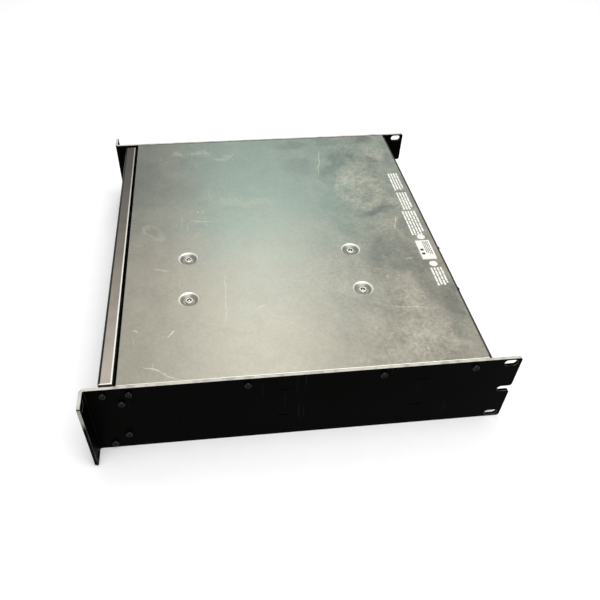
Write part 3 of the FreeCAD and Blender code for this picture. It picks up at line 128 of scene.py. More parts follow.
class CaseSettings(bpy.types.PropertyGroup):
    """Black paint of the side panels and the rear panel."""
    black: colour_setting("Black paint", "Satin black of the side panels", (0.0005, 0.0005, 0.0004))
    # worn metal on edges, and a painted highlight along the lid's edges and the ears' edges
    bare_edge_and_highlight: colour_setting("Bare edge", "Metal that shows on worn edges", (0.55, 0.54, 0.51))
    # painted highlight: pale lines along the side panels' top edges, the rear panel's top bend and the ears' upper
    # ends
    edge_highlight: colour_setting("Pale edge", "Thinly painted cut edges of the sheets", (0.52, 0.50, 0.45))
    wear_radius: length_setting("Wear width", "How far wear reaches in from an edge", 0.6, 0, 5)


class ScrewSettings(bpy.types.PropertyGroup):
    """Shape of the round-headed screws."""
    head_height: length_setting("Head height", "Height of a screw's head over its seat", 2.2, 0.5, 6)
    shank_radius: length_setting("Shank radius", "Radius of the thread", 1.75, 0.5, 4)
    socket_share: bpy.props.FloatProperty(
        name="Socket share", description="Socket radius as a share of the head's",
        default=0.70, min=0.1, max=0.8, subtype="FACTOR")


class PrintSettings(bpy.types.PropertyGroup):
    """The column of printed bars near the lid's rear edge, and the bars on the panels."""
    ink: colour_setting("Ink", "Off-white printing ink", (0.80, 0.79, 0.74))
    column_margin: length_setting("Column margin", "From the lid's rear edge to the column", 5.2, 0, 50)
    line_pitch: length_setting("Line pitch", "From one printed line to the next", 3.5, 1, 10)
    line_height: length_setting("Line height", "Height of one printed line", 2.2, 0.5, 8)


class StageSettings(bpy.types.PropertyGroup):
    """Floor, lights and camera."""
    floor: colour_setting("Floor", "Colour of the pale floor", (0.93, 0.93, 0.93))
    sky: bpy.props.FloatProperty(
        name="Sky", description="Strength of the even light all round", default=0.55, min=0, max=10)
    softbox: power_setting("Softbox", "Power of the large softbox that the lid mirrors", 8.0)
    overhead: power_setting("Overhead light", "Power of the light above the amplifier", 60.0)
    focal_length: bpy.props.FloatProperty(
        name="Focal length", description="Camera focal length in millimetres",
        default=36.51, min=10, max=200, subtype="DISTANCE_CAMERA")


SETTINGS = {
    "amplifier_lid": LidSettings,
    "amplifier_case": CaseSettings,
    "amplifier_screws": ScrewSettings,
    "amplifier_print": PrintSettings,
    "amplifier_stage": StageSettings,
}


# ---- node tools
class Tree:
    """Short ways to add nodes to one node tree."""

    def __init__(self, tree):
        self.tree = tree
        tree.nodes.clear()

    def add(self, kind, inputs=None, **settings):
        """Add a node; inputs maps a socket's name or number to a value or a socket to link."""
        node = self.tree.nodes.new(kind)
        for name, value in settings.items():
            setattr(node, name, value)
        for key, value in (inputs or {}).items():
            self.feed(node.inputs[key], value)
        return node

    def feed(self, socket, value):
        """Link a socket to a socket, or set its value."""
        if isinstance(value, bpy.types.NodeSocket):
            self.tree.links.new(value, socket)
        else:
            socket.default_value = value

    def calc(self, operation, first, second=0.0, clamp=False):
        """A math node's result."""
        return self.add("ShaderNodeMath", {0: first, 1: second}, operation=operation, use_clamp=clamp).outputs[0]

    def times(self, first, second, clamp=False):
        """A product."""
        return self.calc("MULTIPLY", first, second, clamp)

    def plus(self, first, second, clamp=False):
        """A sum."""
        return self.calc("ADD", first, second, clamp)

    def minus(self, first, second):
        """A difference."""
        return self.calc("SUBTRACT", first, second)

    def size(self, value):
        """A number without its sign."""
        return self.calc("ABSOLUTE", value)

    def vector(self, operation, first, second=(0.0, 0.0, 0.0), output=0):
        """A vector math node's result."""
        return self.add("ShaderNodeVectorMath", {0: first, 1: second}, operation=operation).outputs[output]

    def mix(self, factor, first, second):
        """A mix of two colours."""
        return self.add("ShaderNodeMix", {0: factor, 6: first, 7: second}, data_type="RGBA").outputs[2]

    def ramp(self, value, low, high, start=0.0, end=1.0):
        """A smooth step of a value between two bounds."""
        return self.add("ShaderNodeMapRange", {0: value, 1: low, 2: high, 3: start, 4: end},
                        interpolation_type="SMOOTHSTEP").outputs[0]

    def noise(self, vector, scale, detail=3.0, roughness=0.5, distortion=0.0):
        """A grey noise over a vector."""
        return self.add("ShaderNodeTexNoise", {
            "Vector": vector, "Scale": scale, "Detail": detail,
            "Roughness": roughness, "Distortion": distortion}).outputs["Fac"]

    def place(self):
        """The surface point in the object's own metres."""
        return self.add("ShaderNodeTexCoord").outputs["Object"]

    def normal(self):
        """The surface's flat normal."""
        return self.add("ShaderNodeNewGeometry").outputs["Normal"]

    def turned(self, vector, angle, stretch=(1.0, 1.0, 1.0), shift=(0.0, 0.0, 0.0)):
        """A vector turned about Z, shifted and stretched."""
        return self.add("ShaderNodeMapping", {
            "Vector": vector, "Location": shift, "Rotation": (0.0, 0.0, angle), "Scale": stretch}).outputs[0]

    def scaled(self, vector, factor):
        """A vector or colour times a factor."""
        return self.add("ShaderNodeVectorMath", {0: vector, "Scale": factor}, operation="SCALE").outputs[0]

    def parts(self, vector):
        """The X, Y and Z sockets of a vector."""
        return self.add("ShaderNodeSeparateXYZ", {0: vector}).outputs

    def most(self, values):
        """The largest of several masks."""
        total = values[0]
        for value in values[1:]:
            total = self.calc("MAXIMUM", total, value)
        return total

    def group(self, effect_name, **inputs):
        """The outputs of a node that holds a shared effect group."""
        node = self.add("ShaderNodeGroup", node_tree=effect(effect_name))
        for name, value in inputs.items():
            self.feed(node.inputs[name.capitalize()], value)
        return node.outputs


def new_group(name, inputs, outputs):
    """An empty shader group with named sockets: its tree, its input node and a way to close it."""
    group = bpy.data.node_groups.new(name, "ShaderNodeTree")
    tree = Tree(group)
    for label, kind, default in inputs:
        socket = group.interface.new_socket(label, in_out="INPUT", socket_type=kind)
        if default is not None:
            socket.default_value = default
    for label, kind in outputs:
        group.interface.new_socket(label, in_out="OUTPUT", socket_type=kind)
    return tree, tree.add("NodeGroupInput").outputs, tree.add("NodeGroupOutput").inputs


FLOAT, VECTOR = "NodeSocketFloat", "NodeSocketVector"


def scratch_group():
    """Thin straight scratches in a few directions, broken into short runs."""
    tree, given, result = new_group(
        "thin_scratches", [("Vector", VECTOR, None), ("Scale", FLOAT, 20.0), ("Amount", FLOAT, 0.5)],
        [("Mask", FLOAT)])
    total = None
    for angle, shift in ((0.25, 0.0), (1.35, 3.1), (2.2, 7.7), (2.9, 11.3)):
        along = tree.turned(given["Vector"], angle, (1.0, 42.0, 1.0), (shift, shift, 0.0))
        line = tree.ramp(tree.noise(along, given["Scale"], 1.0, 0.3), 0.735, 0.775)
        where = tree.turned(given["Vector"], angle, (1.0, 1.0, 1.0), (shift * 2, 0.0, shift))
        patch = tree.ramp(tree.noise(where, given["Scale"], 1.0, 0.5), 0.56, 0.64)
        one = tree.times(line, patch)
        total = one if total is None else tree.calc("MAXIMUM", total, one)
    tree.feed(result["Mask"], tree.times(total, given["Amount"], clamp=True))
    return tree.tree


def dust_group():
    """Fine specks in clusters, on faces that look up."""
    tree, given, result = new_group(
        "dust_specks", [("Vector", VECTOR, None), ("Scale", FLOAT, 9.0)], [("Specks", FLOAT)])
    cells = tree.add("ShaderNodeTexVoronoi", {"Vector": given["Vector"], "Scale": 150.0})
    dot = tree.ramp(cells.outputs["Distance"], 0.17, 0.08)
    few = tree.calc("GREATER_THAN", tree.parts(cells.outputs["Color"])["X"], 0.74)
    cluster = tree.ramp(tree.noise(given["Vector"], given["Scale"], 2.0, 0.5, 1.2), 0.46, 0.58)
    lies = tree.ramp(tree.parts(tree.normal())["Z"], 0.2, 0.9)
    tree.feed(result["Specks"], tree.times(tree.times(tree.times(dot, few), cluster), lies))
    return tree.tree


def edge_group():
    """Rounded-edge normals, and a mask of worn paint along edges, which also serves as a painted highlight on the lid
    and the ears.
    """
    tree, given, result = new_group(
        "edge_wear", [("Vector", VECTOR, None), ("Radius", FLOAT, 0.0005), ("Amount", FLOAT, 0.5)],
        [("Mask", FLOAT), ("Normal", VECTOR)])
    soft = tree.add("ShaderNodeBevel", {"Radius": given["Radius"]}, samples=6).outputs[0]
    flat = tree.normal()
    turn = tree.vector("DOT_PRODUCT", soft, flat, output="Value")
    bend = tree.ramp(turn, 0.998, 0.90)
    broken = tree.ramp(tree.noise(given["Vector"], 130.0, 5.0, 0.7), 0.30, 0.62)
    worn = tree.times(bend, broken)
    tree.feed(result["Mask"], tree.times(worn, given["Amount"], clamp=True))
    tree.feed(result["Normal"], soft)
    return tree.tree


def grain_group():
    """The fine texture of a finish, and its slow change in tone."""
    tree, given, result = new_group(
        "fine_grain", [("Vector", VECTOR, None), ("Scale", FLOAT, 900.0)],
        [("Height", FLOAT), ("Tone", FLOAT)])
    tree.feed(result["Height"], tree.noise(given["Vector"], given["Scale"], 3.0, 0.6))
    tree.feed(result["Tone"], tree.noise(given["Vector"], 24.0, 5.0, 0.6))
    return tree.tree


def patch_group():
    """One soft oval patch at a place on a top face."""
    tree, given, result = new_group(
        "soft_patch", [("Vector", VECTOR, None), ("Centre", VECTOR, None), ("Reach", VECTOR, None),
                       ("Turn", VECTOR, None), ("Strength", FLOAT, 1.0)], [("Mask", FLOAT), ("Ring", FLOAT)])
    local = tree.add("ShaderNodeMapping", {
        "Vector": given["Vector"], "Location": given["Centre"], "Rotation": given["Turn"],
        "Scale": given["Reach"]}, vector_type="TEXTURE").outputs[0]
    flat = tree.vector("MULTIPLY", local, (1.0, 1.0, 0.0))
    far = tree.vector("LENGTH", flat, output="Value")
    inside = tree.ramp(far, 1.35, 0.60)
    tree.feed(result["Mask"], tree.times(inside, given["Strength"]))
    rim = tree.ramp(tree.size(tree.minus(far, 0.85)), 0.42, 0.05)
    tree.feed(result["Ring"], tree.times(rim, given["Strength"]))
    return tree.tree


def line_group():
    """One thin scratch along a straight run, fading at both ends."""
    tree, given, result = new_group(
        "scratch_line", [("Vector", VECTOR, None), ("Start", VECTOR, None), ("Run", VECTOR, None),
                         ("Width", FLOAT, 0.0005), ("Strength", FLOAT, 1.0)], [("Mask", FLOAT)])
    flat = tree.vector("MULTIPLY", given["Vector"], (1.0, 1.0, 0.0))
    away = tree.vector("SUBTRACT", flat, given["Start"])
    along = tree.vector("DOT_PRODUCT", away, given["Run"], "Value")
    squared = tree.vector("DOT_PRODUCT", given["Run"], given["Run"], "Value")
    share = tree.calc("DIVIDE", along, squared, clamp=True)
    off = tree.vector("DISTANCE", away, tree.scaled(given["Run"], share), "Value")
    line = tree.ramp(tree.calc("DIVIDE", off, given["Width"]), 1.0, 0.2)
    fade = tree.ramp(tree.size(tree.minus(share, 0.5)), 0.5, 0.3, 0.25, 1.0)
    tree.feed(result["Mask"], tree.times(tree.times(line, fade), given["Strength"]))
    return tree.tree


GROUPS = {}


def effect(name):
    """A shared effect group, built on its first use."""
    makers = {"scratch": scratch_group, "dust": dust_group, "edge": edge_group, "grain": grain_group,
              "patch": patch_group, "line": line_group}
    if name not in GROUPS:
        GROUPS[name] = makers[name]()
    return GROUPS[name]


def open_material(name):
    """A new node material: its tree and its principled shader."""
    material = bpy.data.materials.new(name)
    material.use_nodes = True
    tree = Tree(material.node_tree)
    shader = tree.add("ShaderNodeBsdfPrincipled")
    output = tree.add("ShaderNodeOutputMaterial")
    tree.feed(output.inputs["Surface"], shader.outputs[0])
    return material, tree, shader


def opaque(colour, factor=1.0):
    """A colour times a factor, with full alpha."""
    return (*(min(1.0, value * factor) for value in colour), 1.0)


def surface(tree, shader, colour, gloss, bump, height, normal=None, depth=0.1 * MM, even=None):
    """Wire up a principled shader: colour, roughness, relief and other inputs."""
    tree.feed(shader.inputs["Base Color"], colour)
    tree.feed(shader.inputs["Roughness"], gloss)
    relief = tree.add("ShaderNodeBump", {"Strength": bump, "Distance": depth, "Height": height})
    if normal is not None:
        tree.feed(relief.inputs["Normal"], normal)
    tree.feed(shader.inputs["Normal"], relief.outputs[0])
    for name, value in (even or {}).items():
        tree.feed(shader.inputs[name], value)


# ---- materials
# the span of a grain's tone that a finish uses
TONE = (0.3, 0.7)
# where the sheet metal's marks lie, in metres
TOP = CAD_BOX[1].z
EAR_START_Y = 0.1785
REAR_BEND_Y = 0.1753
SIDE_EDGE_X = 0.2177
EAR_END_X = CAD_BOX[1].x - 0.25 * MM
# paints of the marks, most of them painted light: shade in the dimples, at the lid's front left corner and along the
# front bend, and highlights along the front flange's edges and on the dimples' rims
DIMPLE_SHADE = (0.07, 0.068, 0.060, 1.0)
CORNER_SHADE = (0.085, 0.085, 0.078, 1.0)
BEND_SHADE = (0.003, 0.003, 0.003, 1.0)
LIP_HIGHLIGHT = (0.86, 0.84, 0.77, 1.0)
RIM_HIGHLIGHT = (0.95, 0.93, 0.85, 1.0)


def finish(name, colour, second, roughness, metallic=0.0, grain=700.0, bump=0.04, specular=0.5,
           edge=None, edge_amount=0.5, edge_radius=0.4 * MM, coat=0.0):
    """A plain finish whose tone, gloss and fine texture vary over the surface."""
    material, tree, shader = open_material(name)
    place = tree.place()
    fine = tree.group("grain", vector=place, scale=grain)
    worn = tree.group("edge", vector=place, radius=edge_radius, amount=edge_amount)
    shade = tree.mix(tree.ramp(fine["Tone"], *TONE), opaque(colour), opaque(second))
    if edge:
        shade = tree.mix(worn["Mask"], shade, opaque(edge))
    surface(tree, shader, shade, tree.ramp(fine["Tone"], *TONE, *roughness), bump, fine["Height"], worn["Normal"],
            even={"Metallic": metallic, "Specular IOR Level": specular, "Coat Weight": coat})
    return material


# marks of the lid, in millimetres and degrees: centre, reach, turn and strength
SMUDGES = (((58, 123), (34, 27), 15, 0.62), ((92, 150), (34, 16), 0, 0.55), ((2, 154), (24, 12), 0, 0.45),
           ((-30, 123), (7.5, 27), 19, 0.75), ((-206, 141), (8, 14), 0, 0.75), ((-160, 92), (9, 10), 20, 0.55),
           ((-163, 116), (8, 10), 0, 0.55), ((-150, 141), (6, 8), -30, 0.65), ((-135, 87), (9, 26), 48, 0.45),
           ((-141, 42), (22, 22), 0, 0.35), ((-196, 39), (9, 24), 0, 0.5), ((134, 164), (34, 9), -8, 0.65),
           ((-117, -163), (60, 18), 0, 0.4), ((179, 157), (12, 9), 0, 0.4), ((-100, -120), (30, 30), 0, 0.2),
           ((-205, 90), (12, 20), 0, 0.35))
BLOTCHES = (((-165, 151), (20, 14), 0, 0.55), ((-191, -90), (5, 14), 0, 0.65), ((-186, -117), (7, 9), -20, 0.45),
            ((-175, -58), (6, 13), 15, 0.55), ((-63, -33), (9, 38), 0, 0.35), ((131, 128), (22, 20), 0, 0.5),
            ((183, 120), (24, 24), 20, 0.55), ((100, 40), (50, 35), 0, 0.2), ((-100, 118), (34, 26), 0, 0.4),
            ((205, 75), (12, 35), 0, 0.3))
RINGS = (((-76, 112), (38, 28), 0, 0.65), ((-7, -144), (18, 11), 0, 0.35), ((185, 130), (26, 22), 0, 0.45))
SPECKLED = (((-60, 24), (60, 20), 10, 0.8), ((78, 104), (24, 14), 0, 0.9), ((-20, -100), (34, 32), 0, 0.8),
            ((154, -150), (22, 20), 0, 1.0), ((160, 130), (50, 34), 0, 1.0), ((-176, -80), (26, 50), 0, 0.6),
            ((-75, 112), (38, 34), 0, 0.9))
# scratches of the lid, in millimetres: start, end, width and strength
SCRATCHES = (((-184, 75.5), (-116, 65.4), 1, 0.3), ((69, -67), (151, -71), 0.6, 0.22),
             ((-28, -105), (-26, -79), 0.6, 0.45), ((57, -149), (63, -125), 0.6, 0.3),
             ((-17, 142), (11, 135), 0.8, 0.45), ((62, 131), (63, 142), 0.6, 0.5),
             ((161, -128), (153, -121), 0.7, 0.9), ((148, -163), (152, -156), 0.6, 0.7),
             ((197, -150), (216, -116), 0.7, 0.45), ((140, 100), (143, 127), 0.7, 0.55),
             ((-50, -88), (-42, -90), 0.6, 0.6), ((120, -20), (135, -46), 0.5, 0.2))


def lid_material(settings, edge):
    """Grey lid paint: a cool middle, warm dusty sides partly tinted as a painted reflection, wiped smudges, scratches
    and specks, painted shade in a corner and the dimples, painted highlights on the dimples' rims.
    """
    material, tree, shader = open_material("lid_paint")
    place = tree.place()
    across = tree.parts(place)
    cloud = tree.noise(place, 34.0, 8.0, 0.66, 0.4)
    grit = tree.noise(place, 300.0, 6.0, 0.70)
    drift = tree.noise(place, 5.0, 3.0, 0.55, 0.5)

    def marks(places, vector, output="Mask"):
        """The largest of the patch masks at several places."""
        return tree.most([tree.group("patch", vector=vector, centre=(x * MM, y * MM, 0.0),
                                     reach=(wide * MM, deep * MM, 1.0), turn=(0.0, 0.0, math.radians(turn)),
                                     strength=strength)[output] for (x, y), (wide, deep), turn, strength in places])

    # an uneven vector gives every mark a ragged outline
    rough = tree.add("ShaderNodeTexNoise", {"Vector": place, "Scale": 38.0, "Detail": 5.0, "Roughness": 0.62})
    off = tree.vector("SUBTRACT", rough.outputs["Color"], (0.5, 0.5, 0.5))
    ragged = tree.vector("ADD", place, tree.scaled(off, 0.042))

    # warm paint lies towards the right and along the front and rear edges; the shift towards the right is partly
    # dust, partly a painted reflection tint
    near = tree.ramp(across["X"], -0.12, 0.20)
    front = tree.times(tree.ramp(across["Y"], -0.05, -0.15), 0.55)
    rear = tree.times(tree.ramp(across["Y"], 0.07, 0.14), 0.35)
    warm = tree.plus(near, tree.plus(front, rear))
    uneven = tree.times(tree.minus(tree.plus(cloud, drift), 1.0), 0.8)
    paint = tree.mix(tree.plus(warm, uneven, clamp=True), opaque(settings.cool_paint), opaque(settings.warm_paint))

    # painted shade: the front left corner is darker, where the lid mirrors none of the softbox
    dark = tree.times(tree.ramp(across["Y"], -0.05, -0.18), tree.ramp(across["X"], 0.16, -0.16))
    paint = tree.mix(tree.times(dark, 0.50), paint, CORNER_SHADE)

    # dust lies thicker towards the rear edge and the right rear corner
    rearward = tree.ramp(across["Y"], 0.02, 0.12, 0.15, 1.0)
    drifts = tree.turned(place, 0.4, (1.0, 1.25, 1.0), (0.21, 0.43, 0.0))
    thick = tree.times(tree.ramp(tree.noise(drifts, 15.0, 8.0, 0.64, 0.8), 0.46, 0.74), rearward)
    dusty = tree.most([tree.times(thick, 0.55), marks(BLOTCHES, ragged), marks(RINGS, ragged, "Ring")])
    dusty = tree.times(dusty, tree.ramp(grit, 0.30, 0.66, 0.35, 1.0))
    paint = tree.mix(tree.times(dusty, 0.50), paint, opaque(settings.dust))
    wiped = tree.times(marks(SMUDGES, ragged), tree.ramp(cloud, 0.25, 0.60, 0.65, 1.0))
    paint = tree.mix(tree.times(wiped, 0.80), paint, opaque(settings.smudge))

    # the tone swings more where the lid is dusty
    swing = tree.times(tree.minus(grit, 0.5), tree.plus(tree.times(rearward, 0.75), 0.36))
    slow = tree.times(tree.minus(cloud, 0.5), tree.plus(tree.times(rearward, 0.60), 0.25))
    paint = tree.scaled(paint, tree.plus(tree.plus(swing, slow), 1.0))

    # specks and scratches
    pale = opaque(settings.dust, 1.7)
    dust = tree.group("dust", vector=place, scale=9.0)
    paint = tree.mix(tree.times(dust["Specks"], marks(SPECKLED, ragged)), paint, pale)
    wavy = tree.vector("ADD", place, tree.scaled(off, 0.012))
    lines = [tree.group("line", vector=wavy, start=(x * MM, y * MM, 0.0), run=((to_x - x) * MM, (to_y - y) * MM, 0.0),
                        width=width * MM, strength=strength)["Mask"]
             for (x, y), (to_x, to_y), width, strength in SCRATCHES]
    lines.append(tree.group("scratch", vector=place, scale=19.0, amount=0.16)["Mask"])
    paint = tree.mix(tree.times(tree.most(lines), tree.ramp(grit, 0.32, 0.60, 0.35, 1.0)), paint, pale)

    # painted shade darkens the dimples, painted highlights brighten their rims, and the worn edges are partly a
    # painted highlight
    # painted shade: darker the deeper a point lies below the lid's top
    sunk = tree.ramp(across["Z"], TOP - 0.9 * MM, TOP - 2.5 * MM)
    paint = tree.mix(tree.times(sunk, 0.26), paint, DIMPLE_SHADE)
    # painted highlight: a near-white band round the upper rim of each dimple
    rim_highlight_mask = tree.times(tree.ramp(across["Z"], TOP - 0.02 * MM, TOP - 0.20 * MM),
                      tree.ramp(across["Z"], TOP - 1.3 * MM, TOP - 0.7 * MM))
    paint = tree.mix(tree.times(rim_highlight_mask, 0.85), paint, RIM_HIGHLIGHT)
    # the worn edges are partly wear, partly a painted highlight on the dimples' rims and the lid's edges
    worn = tree.group("edge", vector=place, radius=0.8 * MM, amount=1.0)
    paint = tree.mix(worn["Mask"], paint, opaque(edge))

    gloss = tree.plus(tree.ramp(cloud, *TONE, 0.31, 0.39), tree.times(dusty, 0.14))
    gloss = tree.minus(gloss, tree.times(wiped, 0.05))
    fine = tree.group("grain", vector=place, scale=1100.0)
    dents = tree.times(tree.noise(place, 30.0, 2.0, 0.5), 1.5)
    surface(tree, shader, paint, gloss, 0.12, tree.plus(fine["Height"], dents), worn["Normal"],
            even={"Metallic": 0.5})
    return material


def front_material(settings, edge):
    """Bronze-grey paint of the front panel, darker on top towards the left: a painted sheen on top and a painted
    light gradient across X.
    """
    material, tree, shader = open_material("front_panel_paint")
    place = tree.place()
    across = tree.parts(place)
    up = tree.parts(tree.normal())["Z"]
    fine = tree.group("grain", vector=place, scale=900.0)
    paint = tree.mix(tree.ramp(fine["Tone"], *TONE), opaque(settings.flange, 0.34), opaque(settings.flange, 0.46))
    # painted sheen on the upward faces, stronger towards +X
    painted_sheen = tree.times(tree.ramp(up, 0.6, 0.97), tree.ramp(across["X"], -0.30, 0.20))
    painted_sheen = tree.times(painted_sheen, tree.ramp(tree.noise(place, 60.0, 5.0, 0.6), 0.3, 0.6, 0.85, 1.0))
    paint = tree.mix(painted_sheen, paint, opaque(settings.flange, 2.2))
    # painted light: the whole panel grows brighter towards +X
    share = tree.calc("DIVIDE", tree.plus(across["X"], 0.08), 0.30, clamp=True)
    paint = tree.scaled(paint, tree.plus(tree.times(tree.calc("POWER", share, 2.0), 0.55), 0.52))

    # painted shade along the front bend, and painted highlights along the edges behind and at both ends
    low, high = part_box("front_panel")
    bend = tree.times(tree.ramp(across["Y"], low.y + 2.9 * MM, low.y + 2.3 * MM),
                      tree.ramp(across["Z"], high.z - 3.2 * MM, high.z - 2.4 * MM))
    paint = tree.mix(bend, paint, BEND_SHADE)
    behind = tree.ramp(across["Y"], high.y - 1.6 * MM, high.y - 1.1 * MM)
    ends = tree.ramp(tree.size(across["X"]), high.x - 1.6 * MM, high.x - 1.0 * MM)
    # painted highlight along the flange's rear edge and ends, brighter towards +X
    lip_highlight_mask = tree.times(tree.most([behind, ends]), tree.ramp(up, 0.5, 0.9))
    paint = tree.mix(tree.times(lip_highlight_mask, tree.ramp(across["X"], -0.22, 0.10, 0.35, 0.95)), paint, LIP_HIGHLIGHT)
    marks = tree.group("scratch", vector=place, scale=22.0, amount=0.25)
    paint = tree.mix(marks["Mask"], paint, opaque(edge))
    worn = tree.group("edge", vector=place, radius=0.5 * MM, amount=0.9)
    paint = tree.mix(worn["Mask"], paint, opaque(edge))
    surface(tree, shader, paint, tree.ramp(fine["Tone"], *TONE, 0.33, 0.45), 0.08, fine["Height"], worn["Normal"],
            even={"Metallic": 0.4})
    return material


def black_material(settings):
    """Satin black sheet paint, worn at the ears with a painted highlight there, and painted highlights along the side
    panels' top edges, the rear panel's top bend and the ears' upper ends.
    """
    material, tree, shader = open_material("case_black_paint")
    place = tree.place()
    across = tree.parts(place)
    fine = tree.group("grain", vector=place, scale=800.0)
    paint = tree.mix(tree.ramp(fine["Tone"], *TONE), opaque(settings.black), opaque(settings.black, 1.7))
    marks = tree.group("scratch", vector=place, scale=14.0, amount=0.02)
    paint = tree.mix(marks["Mask"], paint, opaque(settings.bare_edge_and_highlight))
    worn = tree.group("edge", vector=place, radius=settings.wear_radius, amount=1.0)
    # the ears' worn edges, partly a painted highlight
    wide = tree.size(across["X"])
    ends = tree.calc("GREATER_THAN", tree.size(across["Y"]), EAR_START_Y)
    rubbed_and_highlit = tree.times(worn["Mask"], tree.times(ends, 0.45))
    paint = tree.mix(rubbed_and_highlit, paint, opaque(settings.bare_edge_and_highlight))

    # painted highlights: pale lines on the side panels' top edges, the rear panel's top bend and the ears' upper ends
    on_top = tree.times(tree.ramp(tree.parts(tree.normal())["Z"], 0.6, 0.9),
                        tree.ramp(across["Z"], TOP - 1.6 * MM, TOP - 0.9 * MM))
    side_edge = tree.times(on_top, tree.calc("GREATER_THAN", wide, SIDE_EDGE_X))
    rear_line = tree.ramp(tree.size(tree.minus(across["Y"], REAR_BEND_Y)), 1.1 * MM, 0.5 * MM, 0.0, 0.6)
    rear_line = tree.times(tree.times(on_top, rear_line), tree.calc("LESS_THAN", wide, SIDE_EDGE_X))
    ear_end = tree.times(tree.calc("GREATER_THAN", wide, EAR_END_X), tree.ramp(across["Z"], 0.058, 0.070, 0.0, 0.6))
    patchy = tree.ramp(tree.noise(place, 90.0, 4.0, 0.6), 0.30, 0.56, 0.62, 1.0)
    pale = tree.times(tree.most([side_edge, rear_line, ear_end]), patchy)
    paint = tree.mix(pale, paint, opaque(settings.edge_highlight))
    surface(tree, shader, paint, tree.ramp(fine["Tone"], *TONE, 0.42, 0.55), 0.10, fine["Height"], worn["Normal"],
            even={"Metallic": rubbed_and_highlit, "Specular IOR Level": 0.012})
    return material


def winding_material():
    """Varnished copper wire wound round a ring core."""
    material, tree, shader = open_material("copper_winding")
    place = tree.place()
    low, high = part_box("transformer")
    from_centre = tree.parts(tree.vector("SUBTRACT", place, (low + high) / 2))
    wires_per_radian = 190.0
    turns = tree.calc("SINE", tree.times(tree.calc("ARCTAN2", from_centre["Y"], from_centre["X"]), wires_per_radian))
    # painted shade and highlight: dark and bright stripes across each wire stand in for its roundness
    copper = tree.mix(tree.ramp(turns, -1.0, 1.0), (0.16, 0.045, 0.012, 1.0), (0.52, 0.19, 0.06, 1.0))
    surface(tree, shader, copper, tree.ramp(tree.noise(place, 60.0), *TONE, 0.25, 0.45), 0.6, turns,
            depth=0.5 * MM, even={"Metallic": 0.6})
    return material


def board_material():
    """Green circuit board with paler copper tracks under the mask."""
    material, tree, shader = open_material("circuit_board")
    cells = tree.add("ShaderNodeTexVoronoi", {"Vector": tree.place(), "Scale": 130.0}, distance="MANHATTAN",
                     feature="F1").outputs["Distance"]
    tracks = tree.ramp(tree.calc("PINGPONG", cells, 0.12), 0.05, 0.07)
    green = tree.mix(tracks, (0.006, 0.045, 0.016, 1.0), (0.02, 0.13, 0.05, 1.0))
    surface(tree, shader, green, tree.ramp(tracks, 0.0, 1.0, 0.32, 0.45), 0.3, tracks, depth=0.05 * MM)
    return material


def make_finishes(case, lid, ink):
    """All the materials by a maker's plain names."""
    return {
        "lid": lid_material(lid, case.bare_edge_and_highlight),
        "black": black_material(case),
        "front": front_material(lid, case.bare_edge_and_highlight),
        "zinc": finish("zinc_plated_sheet", (0.42, 0.43, 0.43), (0.56, 0.56, 0.55), (0.25, 0.42), metallic=1.0,
                       grain=300.0),
        "plated": finish("bright_zinc_screw", (0.86, 0.85, 0.80), (0.72, 0.70, 0.65), (0.25, 0.38), metallic=0.5,
                         edge=(0.85, 0.84, 0.80), edge_radius=0.15 * MM),
        "black_screw": finish("black_zinc_screw", (0.001, 0.001, 0.001), (0.003, 0.003, 0.003), (0.20, 0.30),
                              specular=0.22),
        "knob": finish("knob_black_rubbery", (0.011, 0.011, 0.012), (0.02, 0.02, 0.021), (0.5, 0.65),
                       grain=1500.0, bump=0.1, edge=(0.06, 0.06, 0.06), edge_radius=0.2 * MM),
        "moulded": finish("moulded_black_plastic", (0.010, 0.010, 0.011), (0.017, 0.017, 0.018), (0.38, 0.52),
                          grain=1300.0, bump=0.12),
        "gloss": finish("gloss_black_plastic", (0.008, 0.008, 0.008), (0.013, 0.013, 0.013), (0.12, 0.2),
                        grain=400.0, bump=0.02),
        "socket": finish("dark_blue_socket_plastic", (0.008, 0.014, 0.032), (0.013, 0.022, 0.05), (0.35, 0.48),
                         grain=1300.0, bump=0.1),
        "cast": finish("black_chromed_casting", (0.05, 0.05, 0.052), (0.09, 0.09, 0.09), (0.25, 0.4),
                       metallic=0.9, edge=(0.45, 0.44, 0.42), edge_amount=0.6, edge_radius=0.25 * MM),
        "wire": finish("bright_guard_wire", (0.62, 0.62, 0.61), (0.78, 0.78, 0.76), (0.12, 0.22), metallic=1.0),
        "button": finish("ivory_button", (0.55, 0.53, 0.46), (0.62, 0.60, 0.53), (0.3, 0.42), grain=900.0),
        "aluminium": finish("mill_aluminium", (0.60, 0.61, 0.62), (0.70, 0.71, 0.72), (0.28, 0.42), metallic=1.0,
                            grain=250.0, bump=0.1),
        "winding": winding_material(),
        "rubber": finish("soft_black_rubber", (0.012, 0.012, 0.012), (0.02, 0.02, 0.02), (0.7, 0.85),
                         grain=800.0, bump=0.2),
        "sleeve": finish("dark_blue_sleeve", (0.008, 0.016, 0.06), (0.012, 0.022, 0.08), (0.2, 0.3)),
        "board": board_material(),
        "brass": finish("gold_plated_brass", (0.78, 0.55, 0.22), (0.86, 0.64, 0.30), (0.15, 0.28), metallic=1.0),
        "lamp": finish("smoked_lamp_lens", (0.05, 0.16, 0.05), (0.08, 0.22, 0.07), (0.08, 0.14), grain=200.0,
                       coat=0.5),
        "socket_shade": finish("painted_socket_shade", (0.004, 0.004, 0.004), (0.007, 0.007, 0.007), (0.5, 0.6),
                         specular=0.1),
        "ink": finish("white_printing_ink", ink, [v * 0.86 for v in ink], (0.45, 0.6), grain=1500.0),
    }


